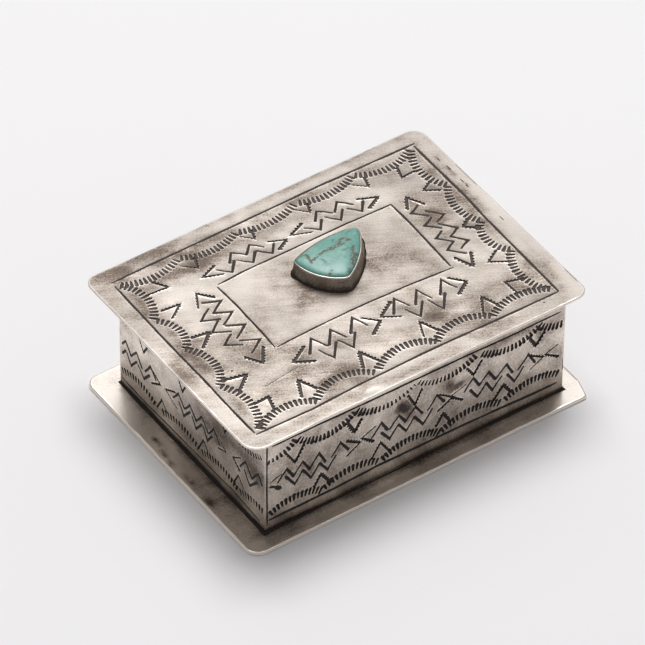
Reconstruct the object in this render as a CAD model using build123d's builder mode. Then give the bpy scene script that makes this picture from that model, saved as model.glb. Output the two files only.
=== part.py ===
from build123d import *
import os

# A hand-made sheet metal box with a lift-off lid and one turquoise stone in a bezel.
# Millimetres. +X along the length, +Y to the rear, +Z up. The origin is under the
# base, at its centre. Hand work is a little off centre, so the walls and the lid
# have their own centres.

# Sheet and strip gauges
base_gauge = 1.0
wall_gauge = 0.9
lid_gauge = 0.8
flange_gauge = 0.7
bezel_gauge = 0.45

# Four walls, mitred and soldered at the corners
wall_length = 84.8
wall_width = 60.6
wall_height = 31.5
wall_centre_x = 0.8
wall_centre_y = -0.15

# Base sheet, which stands out past the walls by a mean margin at the ends and along
# the sides. Its front right corner is clipped.
base_end_margin = 5.85
base_side_margin = 5.2
base_edge_round = 0.25
base_front_left_radius = 4.0
base_rear_right_radius = 3.0
base_rear_left_radius = 3.2
base_clip_along_length = 1.6
base_clip_along_width = 5.5
base_clip_round = 0.8

# Lid sheet, which stands out past the walls too
lid_end_margin = 5.1
lid_side_margin = 4.45
lid_centre_x = -0.35
lid_centre_y = 0.55
lid_edge_round = 0.2
lid_front_left_radius = 4.6
lid_front_right_radius = 3.2
lid_rear_right_radius = 3.8
lid_rear_left_radius = 3.0

# Flange strips under the lid, which drop inside the walls
flange_depth = 5.0
flange_clearance = 0.35

# Solder fillets
foot_solder_leg = 0.7
corner_solder_leg = 0.8
corner_solder_stop = 0.8
flange_solder_leg = 0.6
bezel_solder_leg = 0.5
solder_tip = 0.08

# Setting: a three-cornered bezel with bowed sides, given at its rim. Its centre is
# measured from the centre of the lid and its corners from its own centre. The foot
# is wider than the rim and stands a little to one side of it.
setting_offset_x = 2.95
setting_offset_y = 5.05
left_corner_x = -9.1
left_corner_y = 4.0
right_corner_x = 10.35
right_corner_y = 5.55
front_corner_x = -1.5
front_corner_y = -7.9
left_side_bow = 2.2
right_side_bow = 1.75
rear_side_bow = 1.6
left_corner_radius = 1.4
right_corner_radius = 1.4
front_corner_radius = 1.9
bezel_height = 4.0
bezel_rim_round = 0.12
foot_flare = 0.7
foot_lean_x = 0.35
foot_lean_y = 0.15

# Stone, and the bed that lifts it to the rim. The stone's crown and shoulder are its
# heights above the rim in the middle and at its furthest corner.
bed_height = 1.2
setting_clearance = 0.05
stone_crown = 1.3
stone_shoulder = 0.09
stone_shoulder_round = 0.25

# Levels
base_top = base_gauge
wall_top = base_top + wall_height
lid_top = wall_top + lid_gauge
bezel_rim = lid_top + bezel_height
stone_seat = lid_top + bed_height
stone_top = bezel_rim + stone_crown

# Sizes that follow
wall_centre = (wall_centre_x, wall_centre_y)
lid_centre = (lid_centre_x, lid_centre_y)
setting_centre_x = lid_centre_x + setting_offset_x
setting_centre_y = lid_centre_y + setting_offset_y
base_length = wall_length + 2 * base_end_margin
base_width = wall_width + 2 * base_side_margin
lid_length = wall_length + 2 * lid_end_margin
lid_width = wall_width + 2 * lid_side_margin
cavity_length = wall_length - 2 * wall_gauge
cavity_width = wall_width - 2 * wall_gauge
flange_length = cavity_length - 2 * flange_clearance
flange_width = cavity_width - 2 * flange_clearance

os.makedirs("parts", exist_ok=True)


def save(name, builder):
    """Label a finished piece and write it as parts/name.step."""
    builder.part.label = name
    export_step(builder.part, f"parts/{name}.step")


def nearest_vertex(sketch, corner_x, corner_y):
    """The vertex of a sketch that lies nearest to a point."""
    return sketch.vertices().sort_by_distance((corner_x, corner_y))[0]


# Base plate: three round corners, and the clipped one
with BuildPart() as base_plate:
    half_length = base_length / 2
    half_width = base_width / 2
    clip_x = half_length - base_clip_along_length
    clip_y = -half_width + base_clip_along_width
    with BuildSketch() as base_outline:
        with BuildLine():
            Polyline(
                (-half_length, -half_width),
                (clip_x, -half_width),
                (half_length, clip_y),
                (half_length, half_width),
                (-half_length, half_width),
                close=True,
            )
        make_face()
        for corner_x, corner_y, radius in (
            (-half_length, -half_width, base_front_left_radius),
            (clip_x, -half_width, base_clip_round),
            (half_length, clip_y, base_clip_round),
            (half_length, half_width, base_rear_right_radius),
            (-half_length, half_width, base_rear_left_radius),
        ):
            fillet(nearest_vertex(base_outline, corner_x, corner_y), radius=radius)
    extrude(amount=base_gauge)
    fillet(base_plate.faces().sort_by(Axis.Z)[-1].edges(), radius=base_edge_round)
save("base_plate", base_plate)


# Walls and flange: each frame has four strips of sheet, mitred where they meet
sides = ("front", "right", "rear", "left")


def mitred_strip(side, frame_length, frame_width, gauge, bottom, height):
    """One side of a four-sided frame about the wall centre, cut at 45 degrees at both ends."""
    along, across = frame_length, frame_width
    if side in ("left", "right"):
        along, across = across, along
    turn = 360 * sides.index(side) / len(sides)
    plane = Plane(origin=(*wall_centre, bottom)).rotated((0, 0, turn))
    with BuildPart() as strip:
        with BuildSketch(plane):
            with BuildLine():
                Polyline(
                    (-along / 2, -across / 2),
                    (along / 2, -across / 2),
                    (along / 2 - gauge, -across / 2 + gauge),
                    (-along / 2 + gauge, -across / 2 + gauge),
                    close=True,
                )
            make_face()
        extrude(amount=height)
    return strip


for side in sides:
    wall = mitred_strip(side, wall_length, wall_width, wall_gauge, base_top, wall_height)
    save(f"{side}_wall", wall)

flange_bottom = wall_top - flange_depth
for side in sides:
    strip = mitred_strip(
        side, flange_length, flange_width, flange_gauge, flange_bottom, flange_depth
    )
    save(f"{side}_flange", strip)


# Solder round the outside of the wall foot, leaning in over its leg
with BuildPart() as foot_solder:
    with BuildSketch(Plane(origin=(*wall_centre, base_top))):
        Rectangle(wall_length + 2 * foot_solder_leg, wall_width + 2 * foot_solder_leg)
    with BuildSketch(Plane(origin=(*wall_centre, base_top + foot_solder_leg))):
        Rectangle(wall_length + 2 * solder_tip, wall_width + 2 * solder_tip)
    loft()
    with BuildSketch(Plane(origin=(*wall_centre, base_top))):
        Rectangle(wall_length, wall_width)
    extrude(amount=foot_solder_leg, mode=Mode.SUBTRACT)
save("foot_solder", foot_solder)

# Solder up the four inside corners of the walls, which stops short of the flange
with BuildPart() as corner_solder:
    with BuildSketch(Plane(origin=(*wall_centre, base_top))):
        for x_side in (-1, 1):
            for y_side in (-1, 1):
                corner_x = x_side * cavity_length / 2
                corner_y = y_side * cavity_width / 2
                with BuildLine():
                    Polyline(
                        (corner_x, corner_y),
                        (corner_x - x_side * corner_solder_leg, corner_y),
                        (corner_x, corner_y - y_side * corner_solder_leg),
                        close=True,
                    )
                make_face()
    extrude(amount=wall_height - flange_depth - corner_solder_stop)
save("corner_solder", corner_solder)

# Solder round the inside of the flange, against the underside of the lid
with BuildPart() as flange_solder:
    opening_length = flange_length - 2 * flange_gauge
    opening_width = flange_width - 2 * flange_gauge
    solder_bottom = wall_top - flange_solder_leg
    with BuildSketch(Plane(origin=(*wall_centre, solder_bottom))):
        Rectangle(opening_length, opening_width)
    extrude(amount=flange_solder_leg)
    with BuildSketch(Plane(origin=(*wall_centre, solder_bottom))):
        Rectangle(opening_length - 2 * solder_tip, opening_width - 2 * solder_tip)
    with BuildSketch(Plane(origin=(*wall_centre, wall_top))):
        Rectangle(opening_length - 2 * flange_solder_leg, opening_width - 2 * flange_solder_leg)
    loft(mode=Mode.SUBTRACT)
save("flange_solder", flange_solder)

# Lid plate: a flat sheet with four unequal round corners
with BuildPart() as lid_plate:
    with BuildSketch(Plane(origin=(*lid_centre, wall_top))) as lid_outline:
        Rectangle(lid_length, lid_width)
        for x_side, y_side, radius in (
            (-1, -1, lid_front_left_radius),
            (1, -1, lid_front_right_radius),
            (1, 1, lid_rear_right_radius),
            (-1, 1, lid_rear_left_radius),
        ):
            corner = nearest_vertex(lid_outline, x_side * lid_length / 2, y_side * lid_width / 2)
            fillet(corner, radius=radius)
    extrude(amount=lid_gauge)
    fillet(lid_plate.faces().sort_by(Axis.Z)[-1].edges(), radius=lid_edge_round)
save("lid_plate", lid_plate)


def lean_at(level):
    """The share of the foot's flare and lean that is left at a level: 1 at the lid, 0 at the rim."""
    return (bezel_rim - level) / bezel_height


def setting_outline(level, outward):
    """The outline of the bezel at a level, moved outward from its outer face."""
    lean = lean_at(level)
    origin = (
        setting_centre_x + lean * foot_lean_x,
        setting_centre_y + lean * foot_lean_y,
        level,
    )
    left_corner = (left_corner_x, left_corner_y)
    right_corner = (right_corner_x, right_corner_y)
    front_corner = (front_corner_x, front_corner_y)
    with BuildSketch(Plane(origin=origin)) as outline:
        with BuildLine():
            SagittaArc(left_corner, front_corner, -left_side_bow)
            SagittaArc(front_corner, right_corner, -right_side_bow)
            SagittaArc(right_corner, left_corner, -rear_side_bow)
        make_face()
        fillet(nearest_vertex(outline, *left_corner), radius=left_corner_radius)
        fillet(nearest_vertex(outline, *right_corner), radius=right_corner_radius)
        fillet(nearest_vertex(outline, *front_corner), radius=front_corner_radius)
        offset(amount=lean * foot_flare + outward)
    return outline.sketch.face()


# Bezel: one strip of thin sheet round the stone, wider at the foot than at the rim
with BuildPart() as bezel:
    loft([setting_outline(lid_top, 0), setting_outline(bezel_rim, 0)])
    fillet(bezel.faces().sort_by(Axis.Z)[-1].edges(), radius=bezel_rim_round)
    loft(
        [setting_outline(lid_top, -bezel_gauge), setting_outline(bezel_rim, -bezel_gauge)],
        mode=Mode.SUBTRACT,
    )
save("bezel", bezel)

# Solder round the bezel foot
with BuildPart() as bezel_solder:
    solder_level = lid_top + bezel_solder_leg
    loft([setting_outline(lid_top, bezel_solder_leg), setting_outline(solder_level, solder_tip)])
    loft([setting_outline(lid_top, 0), setting_outline(bezel_rim, 0)], mode=Mode.SUBTRACT)
save("bezel_solder", bezel_solder)

# Bed under the stone
fill_inset = -bezel_gauge - setting_clearance
with BuildPart() as stone_bed:
    loft([setting_outline(lid_top, fill_inset), setting_outline(stone_seat, fill_inset)])
save("stone_bed", stone_bed)

# Stone: it follows the bezel up to the rim and rises in a low dome above it
with BuildPart() as turquoise_stone:
    stone_rim = setting_outline(bezel_rim, fill_inset)
    loft([setting_outline(stone_seat, fill_inset), stone_rim])
    extrude(stone_rim, amount=stone_crown)
    rim_centre = Vector(setting_centre_x, setting_centre_y, bezel_rim)
    stone_reach = max((edge @ 0.5 - rim_centre).length for edge in stone_rim.edges())
    dome_fall = stone_crown - stone_shoulder
    dome_radius = (stone_reach**2 + dome_fall**2) / (2 * dome_fall)
    with Locations((setting_centre_x, setting_centre_y, stone_top - dome_radius)):
        Sphere(dome_radius, mode=Mode.INTERSECT)
    fillet(turquoise_stone.faces().sort_by(Axis.Z)[-1].edges(), radius=stone_shoulder_round)
save("turquoise_stone", turquoise_stone)
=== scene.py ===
"""Looks of a hand-made silver box: stamped sheets, solder, a bezel and its turquoise.

Shapes are worked out in millimetres and written in metres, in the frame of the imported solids.
A stamped sheet is one mesh: every punch mark is a pocket in it, with a raised lip.
"""

import logging
import math
from dataclasses import dataclass, field
from enum import Enum

import bpy
import numpy as np
from mathutils import Matrix, Vector
from mathutils.geometry import convex_hull_2d, delaunay_2d_cdt


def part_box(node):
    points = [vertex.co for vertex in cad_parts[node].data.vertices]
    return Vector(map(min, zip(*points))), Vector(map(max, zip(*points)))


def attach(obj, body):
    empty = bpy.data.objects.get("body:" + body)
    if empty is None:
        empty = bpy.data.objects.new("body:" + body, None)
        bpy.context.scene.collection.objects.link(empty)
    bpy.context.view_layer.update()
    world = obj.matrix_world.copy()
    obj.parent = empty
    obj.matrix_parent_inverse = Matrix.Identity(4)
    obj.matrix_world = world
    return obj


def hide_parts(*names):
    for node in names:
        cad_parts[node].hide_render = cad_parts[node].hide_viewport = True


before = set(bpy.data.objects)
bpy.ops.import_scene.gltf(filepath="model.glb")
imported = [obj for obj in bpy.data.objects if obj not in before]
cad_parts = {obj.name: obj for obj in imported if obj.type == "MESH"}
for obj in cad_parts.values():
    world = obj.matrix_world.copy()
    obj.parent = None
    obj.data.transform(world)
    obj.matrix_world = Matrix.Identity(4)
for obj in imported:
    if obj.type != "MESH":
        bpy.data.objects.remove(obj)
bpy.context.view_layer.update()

log = logging.getLogger("silver_box")

MILLIMETRE = 0.001
TINY = 1e-12
OUTLINE_SPACING = 1.2
Array = np.ndarray
Pair = tuple[float, float]
Point = Pair
Triple = tuple[float, float, float]
Rows = tuple[tuple[float, ...], ...]
Piece = bpy.types.Object


class Leg(Enum):
    """Which leg of a plain chevron was struck harder."""

    FIRST = 0
    SECOND = 1


class Side(Enum):
    """The upright sides of the box, in the order in which they are built."""

    FRONT = "front"
    RIGHT = "right"
    REAR = "rear"
    LEFT = "left"


# Shader maths


@dataclass(frozen=True)
class Shade:
    """A shader socket that can be used in sums, differences and products."""

    tree: bpy.types.NodeTree
    socket: bpy.types.NodeSocket

    def maths(self, operation: str, *values: "Shade | float") -> "Shade":
        """Add one Math node.

        Args:
            operation: the Math node's operation.
            values: sockets or plain numbers, in the order of its inputs.

        Returns:
            The node's result.
        """
        node = self.tree.nodes.new("ShaderNodeMath")
        node.operation = operation
        for slot, value in zip(node.inputs, values):
            fill(self.tree, slot, value)
        return Shade(self.tree, node.outputs[0])

    def __add__(self, other: "Shade | float") -> "Shade":
        """The sum."""
        return self.maths("ADD", self, other)

    def __sub__(self, other: "Shade | float") -> "Shade":
        """The difference."""
        return self.maths("SUBTRACT", self, other)

    def __rsub__(self, other: float) -> "Shade":
        """The difference from a number."""
        return self.maths("SUBTRACT", other, self)

    def __mul__(self, other: "Shade | float") -> "Shade":
        """The product."""
        return self.maths("MULTIPLY", self, other)

    __radd__ = __add__

    def step(self, low: float, high: float) -> "Shade":
        """A smooth step from 0 at low to 1 at high.

        Args:
            low: the value that gives 0.
            high: the value that gives 1.

        Returns:
            The stepped value.
        """
        node = self.tree.nodes.new("ShaderNodeMapRange")
        node.interpolation_type = "SMOOTHSTEP"
        self.tree.links.new(self.socket, node.inputs["Value"])
        node.inputs["From Min"].default_value = low
        node.inputs["From Max"].default_value = high
        return Shade(self.tree, node.outputs["Result"])

    def clamp(self) -> "Shade":
        """Keep the value between 0 and 1.

        Returns:
            The value kept.
        """
        result = self.maths("ADD", self, 0.0)
        result.socket.node.use_clamp = True
        return result


def fill(tree: bpy.types.NodeTree, slot: bpy.types.NodeSocket, value: Shade | float | tuple) -> None:
    """Link one input of a node, or set it.

    Args:
        tree: the node's tree.
        slot: the input.
        value: another node's output, a number, a direction or a colour of three parts.
    """
    if isinstance(value, Shade):
        tree.links.new(value.socket, slot)
    elif slot.type == "RGBA":
        slot.default_value = (*value, 1)
    else:
        slot.default_value = value


class Material:
    """A node material under construction, round one Principled shader."""

    def __init__(self, name: str) -> None:
        """Start an empty material.

        Args:
            name: the material's name.
        """
        self.data = bpy.data.materials.new(name)
        self.data.use_nodes = True
        self.tree = self.data.node_tree
        self.tree.nodes.clear()
        output = self.tree.nodes.new("ShaderNodeOutputMaterial")
        self.shader = self.tree.nodes.new("ShaderNodeBsdfPrincipled")
        self.tree.links.new(self.shader.outputs[0], output.inputs["Surface"])

    def node(self, kind: str, settings: dict, values: dict, result: str | int = 0) -> Shade:
        """Add a node.

        Args:
            kind: the node's type, without its ShaderNode prefix.
            settings: the node's own properties, which are set first.
            values: what its input sockets hold or are linked to.
            result: the output socket that is wanted.

        Returns:
            That output.
        """
        node = self.tree.nodes.new("ShaderNode" + kind)
        for name, value in settings.items():
            setattr(node, name, value)
        for name, value in values.items():
            fill(self.tree, node.inputs[name], value)
        return Shade(self.tree, node.outputs[result])

    def noise(
        self, size: float, detail: float, warp: float = 0, stretch: Triple = (1, 1, 1), turn: float = 0
    ) -> Shade:
        """Cloudy noise.

        Args:
            size: the size of its features, in millimetres.
            detail: how many finer layers it has.
            warp: how strongly it is distorted.
            stretch: factors along the axes; a larger one makes the features shorter there.
            turn: a turn about Z, in degrees, made before the stretch.

        Returns:
            The noise, about 0 to 1.
        """
        plain = self.node("TexCoord", {}, {}, "Object")
        values = {"Vector": plain, "Angle": math.radians(turn)}
        rotated = self.node("VectorRotate", {"rotation_type": "Z_AXIS"}, values)
        place = self.node("VectorMath", {"operation": "MULTIPLY"}, {0: rotated, 1: stretch})
        values = {"Vector": place, "Scale": 1 / (size * MILLIMETRE), "Detail": detail, "Distortion": warp}
        return self.node("TexNoise", {}, values)

    def attribute(self, name: str) -> Shade:
        """A number stored on the mesh's points."""
        return self.node("Attribute", {"attribute_name": name}, {}, "Fac")

    def mix(self, share: Shade, first: Shade | tuple, second: Shade | tuple) -> Shade:
        """Mix two colours.

        Args:
            share: the share of the second colour.
            first: a colour, or its socket.
            second: a colour, or its socket.

        Returns:
            The mixed colour.
        """
        first_colour, second_colour, mixed_colour = 6, 7, 2
        values = {"Factor": share, first_colour: first, second_colour: second}
        return self.node("Mix", {"data_type": "RGBA"}, values, mixed_colour)

    def bump(self, height: Shade, rise: float) -> None:
        """Give the shader a bump, with the height in millimetres that 1 stands for."""
        normal = self.node("Bump", {}, {"Height": height, "Strength": 1.0, "Distance": rise * MILLIMETRE})
        self.tree.links.new(normal.socket, self.shader.inputs["Normal"])

    def finish(self, **values: Shade | float | tuple) -> bpy.types.Material:
        """Set the shader's sockets.

        Args:
            values: sockets by name, with _ for a space.

        Returns:
            The finished material.
        """
        for name, value in values.items():
            slot = self.shader.inputs[name.replace("_", " ").title().replace("Ior", "IOR")]
            fill(self.tree, slot, value)
        return self.data


# Finishes


@dataclass(frozen=True)
class SilverFinish:
    """Rubbed sterling sheet with tarnish: bright where it is worn, brown-black in the marks, with painted
    shade and highlights.
    """

    name: str
    tarnish: float = 0.30
    roughness: float = 0.25
    bright: Triple = (0.88, 0.80, 0.725)
    dull: Triple = (0.185, 0.145, 0.118)
    black: Triple = (0.042, 0.031, 0.026)
    hairline_turn: float = 28
    cloud_size: float = 14
    mottle_size: float = 3.6
    grain_size: float = 0.38
    speck_size: float = 1.1
    hair_size: float = 1.0
    rise: float = 0.012

    def material(self) -> bpy.types.Material:
        """Build the material.

        Returns:
            The material, which reads the mesh's oxide, its tarnish with painted shade and light, and its
            wear with painted highlights.
        """
        made = Material(self.name)
        clouds = made.noise(self.cloud_size, 2.5, 0.4)
        mottle = made.noise(self.mottle_size, 3, 0.2, (0.7, 1.3, 1), self.hairline_turn)
        grain = made.noise(self.grain_size, 3)
        specks = made.noise(self.speck_size, 2)
        hairs = made.noise(self.hair_size, 4, 0, (0.06, 2.6, 1), self.hairline_turn)
        stain_and_painted_light = made.attribute("stain_and_painted_light")
        wear_and_highlight = made.attribute("wear_and_highlight")
        oxide = made.attribute("oxide")
        soft = (clouds - 0.5) * 1.6 + (mottle - 0.5) * 0.7 + (grain - 0.5) * 0.9
        # The stain attribute holds tarnish and painted shade and light; the shine attribute holds wear and
        # painted highlights.
        tarnish = soft + stain_and_painted_light + self.tarnish + (hairs - 0.5) * 0.45 - wear_and_highlight * 0.9
        crust = (tarnish + (grain - 0.5) * 0.9 + (specks - 0.5) * 0.9).step(0.95, 1.65) * 0.85
        tarnish = tarnish.clamp()
        freckles = specks.step(0.70, 0.78) * (stain_and_painted_light + 0.25).clamp() * 0.5
        dark = (oxide + (grain - 0.5) * 0.35 + (mottle - 0.5) * 0.25).step(0.22, 0.50)
        colour = made.mix((tarnish + freckles).clamp(), self.bright, self.dull)
        colour = made.mix(crust, colour, self.black)
        colour = made.mix(dark, colour, self.black)
        roughness = self.roughness + tarnish * 0.22 + (grain - 0.5) * 0.12 + dark * 0.2 + wear_and_highlight * 0.08
        made.bump(hairs * 0.35 + grain * 0.5 + mottle * 0.6, self.rise)
        return made.finish(
            base_color=colour,
            metallic=1 - (dark + crust * 0.5).clamp() * 0.65,
            roughness=roughness.clamp(),
        )


@dataclass(frozen=True)
class SolderFinish:
    """Rough solder, dark with oxide and bright only on its high spots."""

    name: str
    bright: Triple = (0.30, 0.25, 0.21)
    black: Triple = (0.024, 0.017, 0.013)
    lump_size: float = 1.6
    grain_size: float = 0.25
    rise: float = 0.06

    def material(self) -> bpy.types.Material:
        """Build the material.

        Returns:
            The material, which reads the mesh's shine.
        """
        made = Material(self.name)
        lumps = made.noise(self.lump_size, 4, 0.4)
        grain = made.noise(self.grain_size, 3)
        worn = (lumps * 0.8 + grain * 0.4 + made.attribute("wear_and_highlight")).step(0.85, 1.20)
        made.bump(lumps + grain * 0.5, self.rise)
        return made.finish(
            base_color=made.mix(worn, self.black, self.bright),
            metallic=0.35 + worn * 0.6,
            roughness=0.62 - worn * 0.24 + (grain - 0.5) * 0.2,
        )


@dataclass(frozen=True)
class TurquoiseFinish:
    """Polished blue-green turquoise with pale clouds and a brown-grey matrix."""

    name: str
    body: Triple = (0.165, 0.375, 0.320)
    pale: Triple = (0.250, 0.462, 0.398)
    deep: Triple = (0.055, 0.215, 0.165)
    brown: Triple = (0.120, 0.122, 0.090)
    cloud_size: float = 3.4
    patch_size: float = 2.1
    mottle_size: float = 0.9
    crumb_size: float = 0.55
    grain_size: float = 0.22
    rise: float = 0.03

    def material(self) -> bpy.types.Material:
        """Build the material.

        Returns:
            The material, which reads the mesh's vein, and its rim for a painted shade on the stone's
            shoulder.
        """
        made = Material(self.name)
        clouds = made.noise(self.cloud_size, 5, 0.7)
        mottle = made.noise(self.mottle_size, 5, 0.3)
        grain = made.noise(self.grain_size, 3)
        colour = made.mix((clouds + (mottle - 0.5) * 0.5).step(0.40, 0.66), self.body, self.pale)
        deeper = made.noise(self.patch_size, 3, 0.4) + (grain - 0.5) * 0.2
        colour = made.mix(deeper.step(0.60, 0.78), colour, self.deep)
        # Painted shade: darker towards the rim, on the stone's steep shoulder.
        colour = made.mix(made.attribute("rim").step(0.1, 1.1), colour, self.deep)
        crumbs = made.noise(self.crumb_size, 4, 0.4)
        vein = made.attribute("vein") * (crumbs * 2.2 - 0.25) + (mottle - 0.5) * 0.9 + (crumbs - 0.5) * 0.8
        dark = vein.step(0.22, 0.95)
        colour = made.mix(dark, colour, self.brown)
        made.bump(dark * -0.6 + mottle * 0.3 + grain * 0.1, self.rise)
        return made.finish(
            base_color=colour,
            roughness=0.40 + dark * 0.25 + (mottle - 0.5) * 0.1,
            coat_weight=0.12,
            coat_roughness=0.25,
            ior=1.58,
        )


@dataclass(frozen=True)
class CardFinish:
    """Grey-brown card, the packing under the stone."""

    name: str
    dark: Triple = (0.23, 0.18, 0.12)
    light: Triple = (0.42, 0.34, 0.25)
    fibre_size: float = 0.5
    patch_size: float = 3
    rise: float = 0.03

    def material(self) -> bpy.types.Material:
        """Build the material.

        Returns:
            The material.
        """
        made = Material(self.name)
        fibres = made.noise(self.fibre_size, 4, 0.2, (1, 6, 1), 15)
        patches = made.noise(self.patch_size, 3)
        colour = made.mix(fibres * 0.7 + patches * 0.3, self.dark, self.light)
        made.bump(fibres, self.rise)
        return made.finish(base_color=colour, roughness=0.82 + fibres * 0.1)


@dataclass(frozen=True)
class PaperFinish:
    """The pale, matt sheet that the box stands on."""

    name: str
    tone: Triple = (0.90, 0.885, 0.89)
    tint_size: float = 120

    def material(self) -> bpy.types.Material:
        """Build the material.

        Returns:
            The material.
        """
        made = Material(self.name)
        tint = made.noise(self.tint_size, 2)
        colour = made.mix(tint, self.tone, tuple(0.985 * part for part in self.tone))
        return made.finish(base_color=colour, roughness=0.7 + tint * 0.1)


# Flat outlines


def mitres(ring: Array) -> Array:
    """The outward direction of each point of a closed, counter-clockwise ring.

    Args:
        ring: the points, one a row.

    Returns:
        Directions as long as a mitre needs for an offset of 1.
    """
    ahead = np.roll(ring, -1, 0) - ring
    normal = np.stack([ahead[:, 1], -ahead[:, 0]], 1)
    normal /= np.maximum(np.linalg.norm(normal, axis=1), 1e-9)[:, None]
    before = np.roll(normal, 1, 0)
    return (normal + before) / np.maximum(0.35, 1 + (normal * before).sum(1))[:, None]


def turned(way: Array, angle: float) -> Array:
    """A flat direction turned counter-clockwise by an angle in radians."""
    cosine, sine = math.cos(angle), math.sin(angle)
    return np.array([way[0] * cosine - way[1] * sine, way[0] * sine + way[1] * cosine])


def rounded(corners: list[Point], radii: tuple[float, ...], spacing: float = OUTLINE_SPACING) -> Array:
    """A polygon with round corners.

    Args:
        corners: its corners, counter-clockwise.
        radii: the radius at each corner, 0 for a sharp one.
        spacing: the most that two points on a straight side may be apart.

    Returns:
        The ring of points.
    """
    arc_spacing = 0.5
    count = len(corners)
    stretches = []
    for k, radius in enumerate(radii):
        here = np.array(corners[k])
        back = np.array(corners[k - 1]) - here
        ahead = np.array(corners[(k + 1) % count]) - here
        back /= np.linalg.norm(back)
        ahead /= np.linalg.norm(ahead)
        half = math.acos(float(np.clip(back @ ahead, -1, 1))) / 2
        if radius == 0:
            stretches.append([here])
            continue
        middle = here + (back + ahead) / np.linalg.norm(back + ahead) * radius / math.sin(half)
        start = here + back * radius / math.tan(half) - middle
        sweep = math.pi - 2 * half
        steps = max(3, math.ceil(sweep * radius / arc_spacing))
        stretches.append([middle + turned(start, sweep * s / steps) for s in range(steps + 1)])
    ring = []
    for k, stretch in enumerate(stretches):
        ring.extend(stretch)
        start, end = stretch[-1], stretches[(k + 1) % count][0]
        pieces = max(1, math.ceil(np.linalg.norm(end - start) / spacing))
        ring.extend(start + (end - start) * s / pieces for s in range(1, pieces))
    return np.array(ring)


def rectangle(
    low: Point, high: Point, radii: tuple[float, ...] = (0, 0, 0, 0), spacing: float = OUTLINE_SPACING
) -> Array:
    """A rectangle with round or sharp corners.

    Args:
        low: its lowest corner.
        high: its highest corner.
        radii: the radius at each corner, from the lowest one on.
        spacing: the most that two points on a side may be apart.

    Returns:
        The ring of points.
    """
    corners = [(low[0], low[1]), (high[0], low[1]), (high[0], high[1]), (low[0], high[1])]
    return rounded(corners, radii, spacing)


def distance_to(points: Array, ring: Array) -> Array:
    """How far points are from a closed ring, counted negative inside it.

    Args:
        points: the points, one a row.
        ring: the ring's points in order.

    Returns:
        One distance for each point.
    """
    start, end = ring, np.roll(ring, -1, 0)
    along = end - start
    offset = points[:, None] - start[None]
    share = np.clip((offset * along).sum(2) / np.maximum((along**2).sum(1), TINY), 0, 1)
    gap = np.linalg.norm(offset - share[..., None] * along, axis=2).min(1)
    above = (start[None, :, 1] > points[:, None, 1]) != (end[None, :, 1] > points[:, None, 1])
    rise = np.where(np.abs(along[:, 1]) < TINY, TINY, along[:, 1])
    crossing = start[:, 0] + (points[:, None, 1] - start[:, 1]) * along[:, 0] / rise
    inside = (above & (points[:, None, 0] < crossing)).sum(1) % 2 == 1
    return np.where(inside, -gap, gap)


def lattice(low: Array, high: Array, spacing: float) -> Array:
    """Points spread evenly over the inside of a rectangle.

    Args:
        low: its lowest corner.
        high: its highest corner.
        spacing: the most that two neighbours may be apart.

    Returns:
        The points, one a row.
    """
    steps = np.maximum(2, np.ceil((high - low) / spacing)).astype(int)
    cells = np.stack(np.meshgrid(np.arange(1, steps[0]), np.arange(1, steps[1])), -1).reshape(-1, 2)
    return low + cells * (high - low) / steps


def chain(first: int, count: int, closed: bool) -> list[tuple[int, int]]:
    """The edges that join numbered points in a row, and the last to the first if it is closed."""
    edges = [(k, k + 1) for k in range(first, first + count - 1)]
    return edges + [(first + count - 1, first)] if closed else edges


def triangulate(points: Array, edges: list[tuple[int, int]]) -> tuple[Array, list, list]:
    """Fill an outline with triangles that keep to given edges.

    Args:
        points: the outline's points and those inside it.
        edges: the pairs of points that have to be joined, the outline's first.

    Returns:
        The points of the mesh, its triangles, and for each point the given ones that it stands for.
    """
    merge_within = 1e-4
    flat = [Vector(point) for point in points]
    corners, _, triangles, origins, _, _ = delaunay_2d_cdt(flat, edges, [], 1, merge_within, True)
    return np.array(corners), triangles, origins


def ripple(points: Array, seed: int, shortest: float, longest: float) -> Array:
    """A smooth, uneven surface made of a few waves.

    Args:
        points: where it is wanted, in millimetres.
        seed: which of many such surfaces.
        shortest: the shortest wave, in millimetres.
        longest: the longest wave, in millimetres.

    Returns:
        Heights between about -1 and 1.
    """
    draw = np.random.default_rng(seed)
    total = np.zeros(len(points))
    waves = 7
    for _ in range(waves):
        turn = draw.uniform(0, 2 * math.pi)
        length = draw.uniform(shortest, longest)
        way = np.array([math.cos(turn), math.sin(turn)])
        total += np.sin(points @ way * 2 * math.pi / length + draw.uniform(0, 2 * math.pi))
    return np.clip(total / waves * 1.6, -1, 1)


# Punch marks


@dataclass
class Mark:
    """One pocket that a punch or a scriber leaves in a sheet."""

    ring: Array
    floor: Array
    floor_closed: bool
    depth: float
    slope: float
    lip: float = 0.03
    lip_width: float = 0.24
    oxide: float = 1.0

    def lines(self) -> list[tuple[Array, bool]]:
        """The lines that the mesh has to follow, and whether each is closed."""
        outer = self.ring + mitres(self.ring) * self.lip_width
        return [(self.ring, True), (outer, True), (self.floor, self.floor_closed)]

    def reach(self) -> tuple[Array, Array]:
        """The lowest and highest corner of what the mark changes."""
        return self.ring.min(0) - self.lip_width, self.ring.max(0) + self.lip_width


def pocket(ring: list | Array, depth: float, slope: float, **more: float) -> Mark:
    """A pocket with a flat floor.

    Args:
        ring: its outline, in either direction.
        depth: how deep it is.
        slope: how wide its sloping side is.
        more: other values of the mark.

    Returns:
        The mark.
    """
    ring = np.array(ring, float)
    around = np.roll(ring, -1, 0)
    if (ring[:, 0] * around[:, 1] - ring[:, 1] * around[:, 0]).sum() < 0:
        ring = ring[::-1]
    return Mark(ring, ring - mitres(ring) * slope, True, depth, slope, **more)


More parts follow.
